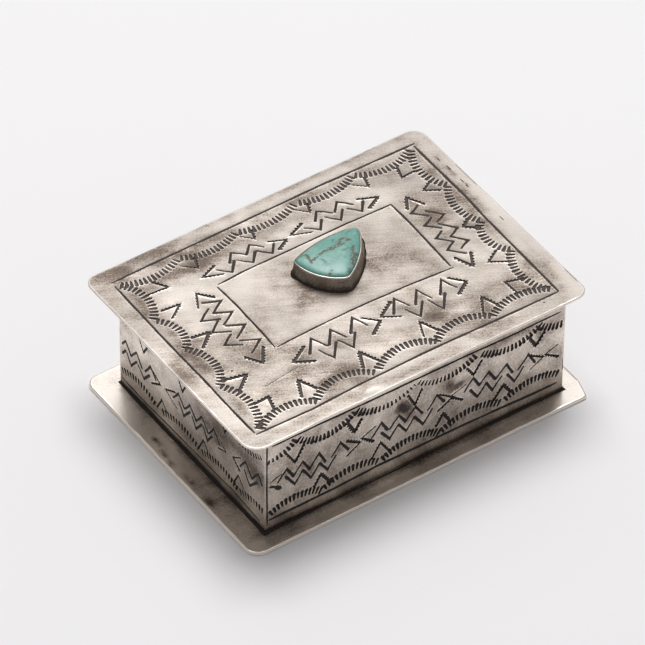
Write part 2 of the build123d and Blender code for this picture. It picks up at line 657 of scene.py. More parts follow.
def groove(points: list[Point], halves: list[float], depth: float, **more: float) -> Mark:
    """A groove with a sharp bottom, along a line.

    Args:
        points: the line.
        halves: half the groove's width at each point.
        depth: how deep it is.
        more: other values of the mark.

    Returns:
        The mark.
    """
    line = np.array(points, float)
    ahead = np.diff(line, axis=0)
    ahead /= np.linalg.norm(ahead, axis=1)[:, None]
    normal = np.stack([-ahead[:, 1], ahead[:, 0]], 1)
    first, last = np.vstack([normal[:1], normal]), np.vstack([normal, normal[-1:]])
    side = (first + last) / np.maximum(0.5, 1 + (first * last).sum(1))[:, None]
    half = np.array(halves)[:, None]
    start, end = line[0] - ahead[0] * halves[0] * 0.8, line[-1] + ahead[-1] * halves[-1] * 0.8
    ring = np.vstack([start, line - side * half, end, (line + side * half)[::-1]])
    return Mark(ring, line, False, depth, max(halves), **more)


@dataclass(frozen=True)
class Crescent:
    """A curved punch with wedge teeth. It bows to the right of the way from start to end."""

    start: Point
    end: Point
    sag: float
    weight: Pair = (1.0, 1.0)
    pitch: float = 1.13
    length: float = 2.25
    narrow: float = 0.58
    wide: float = 0.96
    depth: float = 0.24
    slope: float = 0.11
    lip: float = 0.026
    oxide: float = 1.0
    stray: float = 0.06
    twist: float = 3

    def marks(self, draw: np.random.Generator) -> list[Mark]:
        """The punch's teeth.

        Args:
            draw: where the unevenness comes from.

        Returns:
            One pocket for each tooth.
        """
        start, end = np.array(self.start), np.array(self.end)
        chord = end - start
        span = np.linalg.norm(chord)
        right = np.array([chord[1], -chord[0]]) / span
        radius = (span**2 / 4 + self.sag**2) / (2 * self.sag)
        centre = (start + end) / 2 - right * (radius - self.sag)
        half = math.asin(min(1, span / 2 / radius))
        count = round(2 * half * radius / self.pitch)
        made = []
        for k in range(count):
            share = (k + 0.5) / count
            turn = (1 - 2 * share) * half
            out = right * math.cos(turn) - chord / span * math.sin(turn)
            middle = centre + out * (radius + draw.uniform(-self.stray, self.stray))
            out = turned(out, math.radians(draw.uniform(-self.twist, self.twist)))
            across = np.array([-out[1], out[0]])
            weight = self.weight[0] + (self.weight[1] - self.weight[0]) * share
            size = weight * draw.uniform(0.93, 1.07)
            long, thin = self.length * size, self.narrow * size
            fat = self.wide * size * draw.uniform(0.9, 1.08)
            # One side of the tooth from its narrow end, and the other side mirrored
            side = [(-0.5, 0.3 * thin), (-0.36, 0.5 * thin), (0.30, 0.5 * fat), (0.47, 0.30 * fat)]
            shape = [side[0], *((a, -b) for a, b in side), (0.50, 0.0), *side[:0:-1]]
            ring = [middle + out * a * long + across * b for a, b in shape]
            depth = self.depth * min(1.0, weight) * draw.uniform(0.8, 1.1)
            oxide = self.oxide * draw.uniform(0.8, 1.1)
            made.append(pocket(ring, depth, self.slope, lip=self.lip, oxide=oxide))
        return made


@dataclass(frozen=True)
class SawChevron:
    """An angle punch whose outer edge is cut like a saw and whose inner edge is smooth."""

    first: Point
    apex: Point
    second: Point
    tooth: float = 0.95
    root: float = 0.36
    tip: float = 0.70
    inner: float = 0.36
    depth: float = 0.26
    slope: float = 0.12
    lip: float = 0.032
    lip_width: float = 0.3
    oxide: float = 1.0
    bite: tuple[float, ...] = (1.0, 1.0)

    def marks(self, draw: np.random.Generator) -> list[Mark]:
        """The one pocket of the punch.

        Args:
            draw: where the unevenness comes from.

        Returns:
            A list with that pocket.
        """
        apex, ends = np.array(self.apex), (np.array(self.first), np.array(self.second))
        ways = [(end - apex) / np.linalg.norm(end - apex) for end in ends]
        bisector = ways[0] + ways[1]
        bisector /= np.linalg.norm(bisector)
        apex = apex + bisector * self.inner
        ways = [(end - apex) / np.linalg.norm(end - apex) for end in ends]
        edges = []
        for way, end, bite in zip(ways, ends, self.bite):
            root, inner = self.root * bite, self.inner * bite
            out = np.array([way[1], -way[0]])
            if out @ bisector > 0:
                out = -out
            span = np.linalg.norm(end - apex)
            teeth = max(3, round(span / self.tooth))
            edge = []
            for k in range(teeth):
                at = span * k / teeth
                high = self.tip * draw.uniform(0.85, 1.1) * bite
                for share, reach in ((0.10, root), (0.36, high * 0.94), (0.66, high), (0.90, root)):
                    edge.append(apex + way * (at + span * share / teeth) + out * reach)
            edge.append(end + out * root * 0.4 + way * 0.2)
            edge.append(end - out * inner * 0.8)
            edges.append(edge)
        half = math.acos(float(np.clip(ways[0] @ bisector, -1, 1)))
        corner = apex + bisector * self.inner * min(self.bite) / max(0.3, math.sin(half))
        tip = apex - bisector * self.tip
        ring = [corner, *edges[0][::-1], tip, *edges[1]]
        depth = self.depth * draw.uniform(0.85, 1.1)
        more = {"lip": self.lip, "lip_width": self.lip_width, "oxide": self.oxide}
        return [pocket(ring, depth, self.slope, **more)]


@dataclass(frozen=True)
class PlainChevron:
    """An angle punch with two plain legs, one of which bites deeper and wider."""

    first: Point
    apex: Point
    second: Point
    heavy: Leg = Leg.SECOND
    thick: float = 0.40
    thin: float = 0.26
    depth: float = 0.24
    lip: float = 0.022
    lip_width: float = 0.28

    def marks(self, draw: np.random.Generator) -> list[Mark]:
        """The groove of the punch.

        Args:
            draw: where the unevenness comes from.

        Returns:
            A list with that groove.
        """
        first, apex, second = (np.array(p) for p in (self.first, self.apex, self.second))
        light_end = first if self.heavy is Leg.SECOND else second
        way = (light_end - apex) / np.linalg.norm(light_end - apex)
        kink = np.array([way[1], -way[0]]) * draw.uniform(0.06, 0.14)
        bend = (light_end + apex) / 2 + kink * (1 if draw.uniform() > 0.5 else -1)
        wide = self.thick * draw.uniform(0.85, 1.1)
        if self.heavy is Leg.SECOND:
            line = [first, bend, apex, (apex + second) / 2, second]
            halves = [self.thin, self.thin, self.thin * 1.15, wide * 0.85, wide]
        else:
            line = [first, (first + apex) / 2, apex, bend, second]
            halves = [wide, wide * 0.85, self.thin * 1.15, self.thin, self.thin]
        depth = self.depth * draw.uniform(0.85, 1.1)
        return [groove(line, halves, depth, lip=self.lip, lip_width=self.lip_width)]


@dataclass(frozen=True)
class ScribedLine:
    """A line drawn with a scriber along a rule, not quite straight."""

    points: tuple[Point, ...]
    half: float = 0.31
    depth: float = 0.20
    lip: float = 0.016
    lip_width: float = 0.2
    stroke: float = 2.5
    stray: float = 0.035

    def marks(self, draw: np.random.Generator) -> list[Mark]:
        """The groove of the line.

        Args:
            draw: where the unevenness comes from.

        Returns:
            A list with that groove.
        """
        line = []
        for start, end in zip(self.points, self.points[1:]):
            start, end = np.array(start), np.array(end)
            steps = max(2, round(np.linalg.norm(end - start) / self.stroke))
            for k in range(steps):
                line.append(start + (end - start) * k / steps + draw.uniform(-self.stray, self.stray, 2))
        line.append(np.array(self.points[-1]))
        end_share = 0.6
        halves = [self.half * draw.uniform(0.82, 1.15) for _ in line]
        halves[0] = halves[-1] = self.half * end_share
        return [groove(line, halves, self.depth, lip=self.lip, lip_width=self.lip_width)]


@dataclass(frozen=True)
class Dent:
    """A round or oval pit, or a worn spot where its oxide is negative."""

    centre: Point
    radii: Pair
    depth: float = 0.12
    oxide: float = 1.0

    def marks(self, draw: np.random.Generator) -> list[Mark]:
        """The pit.

        Args:
            draw: where the unevenness comes from.

        Returns:
            A list with the pit.
        """
        steps = 14
        turns = 2 * math.pi * np.arange(steps) / steps
        sizes = np.array([draw.uniform(0.88, 1.08) for _ in turns])
        x = self.centre[0] + self.radii[0] * sizes * np.cos(turns)
        y = self.centre[1] + self.radii[1] * sizes * np.sin(turns)
        ring = np.column_stack([x, y])
        return [pocket(ring, self.depth, min(self.radii) * 0.35, lip=0.0, oxide=self.oxide)]


@dataclass(frozen=True)
class Cloud:
    """A soft patch of darker, or where its strength is negative brighter, silver."""

    centre: Point
    radii: Pair
    strength: float
    turn: float = 0

    def shade(self, points: Array) -> Array:
        """How much it darkens some points.

        Args:
            points: the points, one a row.

        Returns:
            One value for each point.
        """
        turn = math.radians(self.turn)
        offset = points - np.array(self.centre)
        along = offset @ np.array([math.cos(turn), math.sin(turn)]) / self.radii[0]
        across = offset @ np.array([-math.sin(turn), math.cos(turn)]) / self.radii[1]
        return self.strength * np.exp(-(along**2 + across**2))


Punch = Crescent | SawChevron | PlainChevron | ScribedLine | Dent


def crescents(rows: Rows, **more: float) -> list[Crescent]:
    """Crescents from rows of start, end, sag and how hard the punch is struck at each end."""
    return [Crescent(row[0:2], row[2:4], row[4], row[5:7] or (1.0, 1.0), **more) for row in rows]


def saw_chevrons(rows: Rows, **more: float) -> list[SawChevron]:
    """Saw-edged chevrons from rows of first end, apex, second end and how hard each leg bites."""
    return [SawChevron(row[0:2], row[2:4], row[4:6], bite=row[6:8] or (1.0, 1.0), **more) for row in rows]


def plain_chevrons(rows: Rows, heavy: Leg, **more: float) -> list[PlainChevron]:
    """Plain chevrons from rows of first end, apex and second end."""
    return [PlainChevron(row[0:2], row[2:4], row[4:6], heavy, **more) for row in rows]


def clouds(rows: Rows) -> list[Cloud]:
    """Clouds from rows of centre, radii, strength and, where it isn't 0, turn."""
    return [Cloud(row[0:2], row[2:4], *row[4:]) for row in rows]


# Sheets


@dataclass(frozen=True)
class Placement:
    """Where a flat face lies in the frame, and its two directions. The outward one follows from them."""

    origin: Triple
    along: Triple
    up: Triple

    def world(self, points: Array) -> Array:
        """Flat points with their heights, in metres in the frame.

        Args:
            points: rows of along, up and out, in millimetres.

        Returns:
            Rows of X, Y and Z.
        """
        along, up = np.array(self.along, float), np.array(self.up, float)
        basis = np.stack([along, up, np.cross(along, up)])
        return (np.array(self.origin) + points @ basis) * MILLIMETRE


@dataclass
class Shell:
    """A sheet's mesh while it grows: its points, what they carry, and its faces."""

    points: list[Array] = field(default_factory=list)
    stain_and_painted_light: list[Array] = field(default_factory=list)
    wear_and_highlight: list[Array] = field(default_factory=list)
    oxide: list[Array] = field(default_factory=list)
    faces: list[tuple[int, ...]] = field(default_factory=list)
    total: int = 0

    def add(self, points: Array, stain_and_painted_light: Array, wear_and_highlight: Array, oxide: Array) -> list[int]:
        """Add points.

        Args:
            points: rows of along, up and out, in millimetres.
            stain_and_painted_light: how tarnished each is, with painted shade and light.
            wear_and_highlight: how worn each is, with painted highlights.
            oxide: how black each is.

        Returns:
            The points' numbers.
        """
        self.points.append(points)
        self.stain_and_painted_light.append(stain_and_painted_light)
        self.wear_and_highlight.append(wear_and_highlight)
        self.oxide.append(oxide)
        self.total += len(points)
        return list(range(self.total - len(points), self.total))


@dataclass
class Sheet:
    """A flat piece of sheet silver with punch marks in its outer face."""

    name: str
    outline: Array
    gauge: float
    placement: Placement
    punches: list[Punch] = field(default_factory=list)
    clouds: list[Cloud] = field(default_factory=list)
    seed: int = 1
    edge_round: float = 0.2
    edge_nicks: float = 0.08
    nick_waves: Pair = (4, 30)
    # The edge's and the lips' shine is wear with a painted highlight.
    edge_wear_and_highlight: float = 0.5
    collar: float = 0.35
    collar_gap: float = 0.3
    mitre: float = 0.0
    settle: float = 0.07
    wave: float = 0.16
    waves: Pair = (14, 46)
    back_wave: float = 0.03
    back_waves: Pair = (8, 30)
    push: float = 0.013
    push_width: float = 2.4
    longest_pushed: float = 8
    held_tarnish: float = 2.4
    grid: float = 1.15
    grid_stray: float = 0.22
    back_coarseness: float = 2.2
    clear: float = 0.12
    lip_wear_and_highlight: float = 0.45
    full_lip: float = 0.034
    side_oxide: float = 0.42
    crease: float = 7

    def struck(self) -> list[Mark]:
        """Strike the marks and keep those that fall wholly on the face.

        Returns:
            The marks.
        """
        draw = np.random.default_rng(self.seed)
        inner = self.outline - mitres(self.outline) * (self.edge_round + self.clear)
        low, high = inner.min(0), inner.max(0)
        found = []
        for punch in self.punches:
            for mark in punch.marks(draw):
                bottom, top = mark.reach()
                if (bottom > low).all() and (top < high).all():
                    found.append(mark)
        return found

    def relief(self, points: Array, marks: list[Mark]) -> tuple[Array, Array, Array]:
        """The face's shape at some points.

        Args:
            points: the points on the face.
            marks: what has been struck in it.

        Returns:
            The height, the oxide and whether a mark reaches the point.
        """
        down, lip, oxide = np.zeros((3, len(points)))
        touched = np.zeros(len(points), bool)
        on_ring, margin = 1e-4, 0.01
        for mark in marks:
            low, high = mark.reach()
            near = np.flatnonzero(((points >= low - margin) & (points <= high + margin)).all(1))
            if not len(near):
                continue
            gap = distance_to(points[near], mark.ring)
            depth_share = np.clip(-gap / mark.slope, 0, 1)
            fall = mark.lip - (mark.depth + mark.lip) * depth_share
            within = gap < on_ring
            spot = near[within]
            down[spot] = np.minimum(down[spot], fall[within])
            level = mark.oxide * (self.side_oxide + (1 - self.side_oxide) * depth_share[within])
            oxide[spot] = np.where(np.abs(level) > np.abs(oxide[spot]), level, oxide[spot])
            beside = ~within & (gap < mark.lip_width)
            rise = mark.lip * (1 - gap[beside] / mark.lip_width)
            lip[near[beside]] = np.maximum(lip[near[beside]], rise)
            lip[spot] = np.maximum(lip[spot], np.where(fall[within] > 0, fall[within], 0))
            touched[near[gap < mark.lip_width + self.clear]] = True
        return np.where(down < -1e-6, down, lip), oxide, touched

    def shade(self, points: Array) -> Array:
        """How tarnished the face is at some points, together with painted shade and light where its clouds
        carry them.
        """
        return sum((cloud.shade(points) for cloud in self.clouds), np.zeros(len(points)))

    def hollow(self, points: Array, marks: list[Mark]) -> Array:
        """How far the blows have pushed the sheet down round the marks.

        Args:
            points: the points on the face.
            marks: what has been struck in it.

        Returns:
            One depth for each point.
        """
        total = np.zeros(len(points))
        for mark in marks:
            low, high = mark.reach()
            if (high - low).max() > self.longest_pushed:
                continue
            ring, around = mark.ring, np.roll(mark.ring, -1, 0)
            area = abs((ring[:, 0] * around[:, 1] - ring[:, 1] * around[:, 0]).sum()) / 2
            gap = ((points - ring.mean(0)) ** 2).sum(1)
            total += self.push * area * np.exp(-gap / self.push_width**2)
        return total

    def make_face(self, shell: Shell, marks: list[Mark], ring: Array, out: Array) -> list[int]:
        """Mesh the outer face, with points along every line of every mark.

        Args:
            shell: the mesh so far, which is empty.
            marks: what has been struck in the face.
            ring: the face's rim.
            out: the outward direction at each point of the rim.

        Returns:
            The numbers of the rim's points.
        """
        draw = np.random.default_rng(self.seed + 500)
        spots = lattice(ring.min(0), ring.max(0), self.grid)
        spots = spots + draw.uniform(-self.grid_stray, self.grid_stray, (len(spots), 2)) * self.grid
        collar = ring - out * self.collar
        spots = spots[distance_to(spots, collar) < -self.collar_gap]
        spots = spots[~self.relief(spots, marks)[2]]
        lines = [(ring, True)]
        for mark in marks:
            lines.extend(mark.lines())
        edges, count = [], 0
        for line, closed in lines:
            edges += chain(count, len(line), closed)
            count += len(line)
        points = np.vstack([line for line, _ in lines] + [collar, spots])
        face, triangles, origins = triangulate(points, edges)
        made_of = {}
        for k, sources in enumerate(origins):
            for source in sources:
                made_of.setdefault(source, k)
        rim = [made_of[k] for k in range(len(ring))]
        height, oxide, _ = self.relief(face, marks)
        # Raised lips and the rim are lightened for wear and a painted highlight.
        wear_and_highlight = np.clip(height / self.full_lip, 0, 1) * self.lip_wear_and_highlight
        wear_and_highlight[rim] = self.edge_wear_and_highlight * 0.6
        hollow = self.hollow(face, marks)
        wave = -self.settle - self.wave * (1 + ripple(face, self.seed, *self.waves)) / 2 - hollow
        stain_and_painted_light = self.shade(face) + hollow * self.held_tarnish
        shell.add(np.column_stack([face, height + wave]), stain_and_painted_light, wear_and_highlight, oxide)
        shell.faces.extend(tuple(t) for t in triangles)
        return rim

    def make_side(self, shell: Shell, rim: list[int], edge: Array, out: Array) -> list[int]:
        """Turn the sheet's edge down from the face's rim and in under the back.

        Args:
            shell: the mesh so far, with the face.
            rim: the numbers of the rim's points.
            edge: the sheet's outermost ring.
            out: the outward direction at each of its points.

        Returns:
            The numbers of the points round the back.
        """
        step = self.edge_round
        size = len(rim)
        top = shell.points[0][rim, 2]
        bends = [math.radians(turn) for turn in (22.5, 45, 67.5, 90)]
        # Each ring is given by how far it is drawn in, its level and its share of the edge's wear and
        # painted highlight
        profile = [(step * (1 - math.sin(turn)), top - step * (1 - math.cos(turn)), 1.0) for turn in bends]
        profile.append((0, np.full(size, step * 0.6 - self.gauge), 0.3))
        profile.append((0.2 * step, np.full(size, step * 0.2 - self.gauge), 0.2))
        profile.append((0.6 * step, np.full(size, -self.gauge), 0.1))
        last = rim
        for inset, level, bright in profile:
            depth_share = np.clip(-level / self.gauge, 0, 1)
            draw_in = out * np.array([1.0, 0.0]) * (self.mitre * depth_share)[:, None]
            ring = edge - out * inset - draw_in
            wear_and_highlight = np.full(size, self.edge_wear_and_highlight * bright)
            now = shell.add(np.column_stack([ring, level]), self.shade(ring), wear_and_highlight, np.zeros(size))
            for k in range(size):
                after = (k + 1) % size
                shell.faces.append((last[k], now[k], now[after], last[after]))
            last = now
        return last

    def make_back(self, shell: Shell, last: list[int], ring: Array) -> None:
        """Close the sheet with its plain back.

        Args:
            shell: the mesh so far, with face and side.
            last: the numbers of the points round the back.
            ring: the face's rim, which the back's points are spread under.
        """
        back_ring = shell.points[-1][:, :2]
        size = len(last)
        coarse = self.grid * self.back_coarseness
        spots = lattice(ring.min(0), ring.max(0), coarse)
        spots = spots[distance_to(spots, back_ring) < -0.5 * coarse]
        back, triangles, origins = triangulate(np.vstack([back_ring, spots]), chain(0, size, True))
        rimmed = [bool(sources) and min(sources) < size for sources in origins]
        extra = back[~np.array(rimmed)]
        sink = self.back_wave * (1 + ripple(extra, self.seed + 3, *self.back_waves)) / 2
        plain = np.zeros(len(extra))
        extra_points = np.column_stack([extra, sink - self.gauge])
        fresh = iter(shell.add(extra_points, self.shade(extra), plain, plain))
        index = [last[min(sources)] if known else next(fresh) for known, sources in zip(rimmed, origins)]
        shell.faces.extend(tuple(index[k] for k in reversed(t)) for t in triangles)

    def build(self) -> Piece:
        """Make the sheet's mesh.

        Returns:
            The new object.
        """
        marks = self.struck()
        out = mitres(self.outline)
        uneven = ripple(self.outline, self.seed + 7, *self.nick_waves)
        nicks = np.clip(uneven * 0.5 + 0.5, 0, 1) * self.edge_nicks
        edge = self.outline - out * nicks[:, None]
        ring = edge - out * self.edge_round
        shell = Shell()
        rim = self.make_face(shell, marks, ring, out)
        soft_from = shell.total
        last = self.make_side(shell, rim, edge, out)
        self.make_back(shell, last, ring)
        points = self.placement.world(np.vstack(shell.points))
        made = mesh_object(self.name, points, shell.faces, self.crease, soft_from)
        store(made, "stain_and_painted_light", np.concatenate(shell.stain_and_painted_light))
        store(made, "wear_and_highlight", np.concatenate(shell.wear_and_highlight))
        store(made, "oxide", np.concatenate(shell.oxide))
        return made


def mesh_object(
    name: str, points: Array, faces: list[tuple[int, ...]], crease: float, soft_from: int | None = None
) -> Piece:
    """Make an object from points and faces.

    Args:
        name: its name.
        points: the points, in metres.
        faces: the corners of each face.
        crease: the angle in degrees above which an edge is drawn sharp.
        soft_from: the first of the points whose edges are never drawn sharp.

    Returns:
        The new object, linked to the scene.
    """
    mesh = bpy.data.meshes.new(name)
    mesh.from_pydata(points.tolist(), [], faces)
    mesh.validate()
    mesh.shade_smooth()
    mesh.set_sharp_from_angle(angle=math.radians(crease))
    if soft_from is not None:
        ends = np.zeros(len(mesh.edges) * 2, int)
        mesh.edges.foreach_get("vertices", ends)
        sharp = np.zeros(len(mesh.edges), bool)
        mesh.edges.foreach_get("use_edge_sharp", sharp)
        mesh.edges.foreach_set("use_edge_sharp", sharp & (ends.reshape(-1, 2).max(1) < soft_from))
    made = bpy.data.objects.new(name, mesh)
    bpy.context.scene.collection.objects.link(made)
    return made


def store(piece: Piece, name: str, values: Array) -> None:
    """Keep one number for each point of a mesh, as an attribute that the materials read."""
    attribute = piece.data.attributes.new(name, "FLOAT", "POINT")
    attribute.data.foreach_set("value", np.asarray(values, np.float32))


def dress(piece: Piece, material: bpy.types.Material, body: str, slot: str, *nodes: str) -> Piece:
    """Give a piece its material, its body and the nodes it stands for.

    Args:
        piece: the object.
        material: what covers it.
        body: the body that carries it.
        slot: the name of a material slot; it is not used.
        nodes: the nodes that it replaces.

    Returns:
        The piece.
    """
    piece.data.materials.clear()
    piece.data.materials.append(material)
    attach(piece, body)
    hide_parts(*nodes)
    return piece


def box_mm(node: str) -> tuple[Array, Array]:
    """A node's lowest and highest corner, in millimetres."""
    low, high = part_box(node)
    return np.array(low) / MILLIMETRE, np.array(high) / MILLIMETRE


def outward_face(side: Side, low: Array, high: Array) -> tuple[Placement, float, float]:
    """The outer face of an upright strip.

    Args:
        side: the side of the box that the strip stands on.
        low: the strip's lowest corner.
        high: the strip's highest corner.

    Returns:
        Its placement, and where it begins and ends along its own direction.
    """
    up = (0, 0, 1)
    if side is Side.FRONT:
        return Placement((0, low[1], 0), (1, 0, 0), up), low[0], high[0]
    if side is Side.REAR:
        return Placement((0, high[1], 0), (-1, 0, 0), up), -high[0], -low[0]
    if side is Side.RIGHT:
        return Placement((high[0], 0, 0), (0, 1, 0), up), low[1], high[1]
    return Placement((low[0], 0, 0), (0, -1, 0), up), -high[1], -low[1]


def upright(side: Side, kind: str, name: str, seed: int) -> Sheet:
    """An upright strip with mitred ends, yet without marks or stains.

    Args:
        side: the side of the box that it stands on.
        kind: the rest of its node's name.
        name: the sheet's name.
        seed: the sheet's seed.

    Returns:
        The sheet.
    """
    low, high = box_mm(f"{side.value}_{kind}")
    placement, start, end = outward_face(side, low, high)
    gauge = min(high[:2] - low[:2])
    outline = rectangle((start, low[2]), (end, high[2]))
    return Sheet(name, outline, gauge, placement, seed=seed, mitre=gauge)


# The lid


@dataclass(frozen=True)
class Lid:
    """The lid sheet, stamped all round a plain panel. Its marks are given by X and Y.

    The crescents stand in a scalloped row inside the border. Valleys are the saw-edged chevrons where
    two crescents meet and at the corners, arrows those that close each zigzag at its two ends. The downs
    and ups are the plain chevrons of the zigzags in front of the panel and behind it, by where they
    point. Those beside the panel are named by their side and by where they point.
    """

    finish: SilverFinish = SilverFinish("lid_silver", 0.50, black=(0.074, 0.058, 0.050))
    corner_radii: tuple[float, ...] = (4.6, 3.2, 3.8, 3.0)
    # Painted highlight, with wear, along the lid's rounded edge.
    edge_wear_and_highlight: float = 0.8
    seed: int = 11
    border: tuple[ScribedLine, ...] = (
        ScribedLine(((-43.0, 30.7), (-11.3, 31.0), (13.8, 31.2), (43.0, 30.8))),
        ScribedLine(((-42.9, 29.4), (-43.3, 8.7), (-43.3, -9.3), (-43.5, -20.6), (-43.4, -28.9)), 0.30),
        ScribedLine(((42.4, 30.0), (42.3, 8.8), (41.8, -0.3), (41.5, -12.8), (41.2, -29.7)), 0.36),
        ScribedLine(
            ((-43.3, -29.5), (-28.1, -29.9), (-15.0, -29.4), (4.4, -29.1), (29.4, -29.7), (41.0, -29.8))
        ),
        ScribedLine(((-22.8, 16.4), (-16.2, 16.8), (2.8, 16.8), (13.8, 16.8), (26.1, 16.4)), 0.24),
        ScribedLine(((26.1, 16.3), (26.2, 8.8), (26.0, 4.9), (25.4, -8.8)), 0.30),
        ScribedLine(((-23.3, -8.6), (-12.5, -8.1), (3.1, -8.1), (12.5, -8.5), (25.7, -9.5)), 0.24),
        ScribedLine(((-23.4, 15.8), (-23.2, 8.5), (-23.5, -2.9), (-23.8, -8.3)), 0.26),
    )
    rear_crescents: Rows = (
        (-41.8, 29.1, -25.8, 28.9, 2.2), (-25.3, 28.9, -9.5, 28.9, 2.1), (-9.0, 28.7, 7.5, 29.3, 1.9),
        (8.3, 29.1, 24.2, 29.8, 2.0), (24.6, 29.7, 40.9, 29.8, 2.7),
    )
    right_crescents: Rows = (
        (41.1, 29.5, 41.1, 14.4, 2.7), (41.1, 14.3, 40.3, 0.0, 2.5), (40.3, 0.0, 40.4, -12.2, 2.8),
        (40.3, -12.1, 40.2, -28.3, 3.2),
    )
    front_crescents: Rows = (
        (40.2, -28.1, 23.5, -28.0, 2.6), (23.6, -27.9, 7.8, -27.7, 3.0), (8.3, -27.8, -8.4, -27.7, 3.2),
        (-9.4, -28.3, -25.9, -28.0, 3.4), (-25.6, -28.4, -41.6, -28.5, 2.75),
    )
    left_crescents: Rows = (
        (-42.0, -28.6, -41.4, -11.8, 3.0), (-41.4, -11.9, -41.3, 2.9, 3.1),
        (-41.1, 2.6, -41.6, 14.4, 2.7), (-41.8, 14.9, -42.0, 29.0, 2.9),
    )
    valleys: Rows = (
        (-26.4, 26.5, -23.6, 23.5, -22.2, 27.2, 0.4, 1.0),
        (-9.4, 27.3, -7.0, 24.5, -5.9, 27.6, 0.4, 1.0),
        (6.4, 27.7, 8.8, 24.7, 10.1, 27.8, 0.4, 1.0),
        (22.4, 27.2, 25.3, 24.3, 26.3, 27.8, 0.4, 1.0),
        (-27.9, -25.5, -25.5, -20.0, -23.5, -25.0), (-10.8, -25.5, -8.6, -20.2, -6.6, -25.4),
        (6.6, -24.8, 8.5, -19.9, 10.6, -25.0, 0.55, 1.0),
        (21.8, -27.2, 25.3, -21.1, 26.9, -25.7, 0.7, 1.0),
        (-38.7, 16.4, -33.6, 15.9, -38.0, 13.0, 0.9, 0.65),
        (-38.0, 5.0, -33.1, 4.4, -37.7, 0.8), (-40.2, -10.7, -34.0, -12.1, -38.9, -15.8),
        (38.7, 18.0, 35.1, 16.1, 38.9, 14.0, 0.8, 0.7),
        (38.5, 2.3, 35.5, 0.6, 39.0, -1.9),
        (37.4, -10.4, 33.4, -12.6, 37.4, -14.9, 0.8, 0.6),
        (-35.1, 25.7, -32.7, 22.1, -38.3, 22.8, 1.0, 0.6),
        (34.9, 26.3, 33.5, 22.5, 37.6, 23.0, 0.9, 0.7),
        (-38.3, -21.2, -34.0, -20.8, -35.6, -25.4),
        (37.4, -21.8, 32.6, -20.1, 33.1, -25.0, 0.8, 0.7),
    )
    arrows: Rows = (
        (-19.8, 22.2, -24.6, 20.4, -19.6, 18.7, 0.8, 0.6),
        (-5.2, 22.0, -0.8, 20.3, -4.5, 18.4, 0.55, 1.15),
        (5.2, 22.7, 0.5, 20.8, 5.5, 19.0, 1.0, 0.45),
        (20.4, 22.3, 25.3, 20.3, 21.0, 18.3, 0.65, 1.15),
        (-31.0, 12.3, -28.8, 16.9, -25.9, 13.2, 0.55, 1.0),
        (-31.3, -7.0, -28.9, -11.3, -25.9, -6.5),
        (28.4, 12.7, 30.5, 16.6, 32.7, 11.9, 1.0, 0.8),
        (27.9, -6.8, 29.8, -11.9, 32.0, -7.4), (-17.9, -11.9, -23.3, -14.8, -18.5, -17.3),
        (-2.0, -11.5, 1.5, -14.7, -2.8, -17.5, 0.7, 1.15),
        (7.1, -10.8, 2.0, -13.8, 6.3, -16.2, 1.1, 0.6),
        (22.4, -11.7, 25.7, -15.0, 21.3, -17.6, 0.75, 1.15),
    )
    downs: Rows = (
        (-20.3, 20.8, -17.7, 18.1, -15.1, 21.1), (-14.5, 21.0, -11.8, 18.1, -9.3, 21.0),
        (-9.0, 21.1, -6.3, 18.2, -4.2, 20.8), (4.7, 21.2, 7.5, 18.5, 9.7, 21.3),
        (10.9, 21.6, 13.4, 18.6, 15.8, 21.5), (16.8, 21.1, 19.2, 18.3, 21.4, 21.1),
        (-15.9, -14.7, -14.4, -18.8, -11.1, -14.7), (-10.4, -14.4, -8.8, -18.5, -5.6, -14.5),
        (8.3, -14.7, 9.9, -18.7, 13.2, -14.7), (14.5, -15.0, 15.8, -19.6, 19.1, -15.4),
    )
    ups: Rows = (
        (-16.5, 21.0, -14.3, 23.7, -11.6, 21.2), (-11.7, 21.1, -9.2, 23.6, -6.8, 21.1),
        (8.1, 21.6, 10.3, 24.3, 13.1, 21.7), (13.7, 21.6, 16.1, 24.3, 18.8, 21.4),
        (-18.4, -14.7, -15.3, -10.6, -13.5, -14.7), (-13.0, -14.7, -9.9, -10.7, -8.2, -14.7),
        (-6.7, -14.3, -3.5, -10.2, -1.9, -14.3), (5.2, -14.6, 8.2, -10.4, 9.9, -14.4),
        (11.2, -14.8, 14.2, -10.9, 15.6, -15.1), (17.8, -15.4, 20.9, -11.3, 22.5, -15.4),
    )
    left_rights: Rows = (
        (-29.3, 13.4, -25.3, 11.5, -29.2, 9.0), (-29.1, 9.2, -25.2, 7.0, -29.3, 4.5),
        (-29.0, 4.0, -25.2, 1.8, -29.3, -0.9), (-29.2, -1.9, -25.1, -4.2, -29.2, -6.9),
    )
    left_lefts: Rows = (
        (-29.1, 11.0, -32.9, 8.4, -28.8, 6.6), (-29.6, 6.4, -32.9, 3.8, -29.1, 1.8),
        (-29.6, 1.0, -32.9, -1.3, -29.4, -3.4),
    )
    right_lefts: Rows = (
        (31.2, 12.7, 28.3, 11.2, 31.3, 8.3), (31.5, 7.5, 28.4, 6.0, 31.3, 3.2),
        (30.7, 2.3, 28.1, 0.9, 31.0, -2.3), (31.0, -2.3, 28.0, -3.9, 31.0, -7.2),
    )
    right_rights: Rows = (
        (31.6, 10.0, 34.5, 6.7, 31.6, 5.4), (31.5, 4.7, 34.4, 1.1, 31.3, -0.4),
        (31.3, -0.4, 34.0, -3.9, 31.0, -5.2),
    )
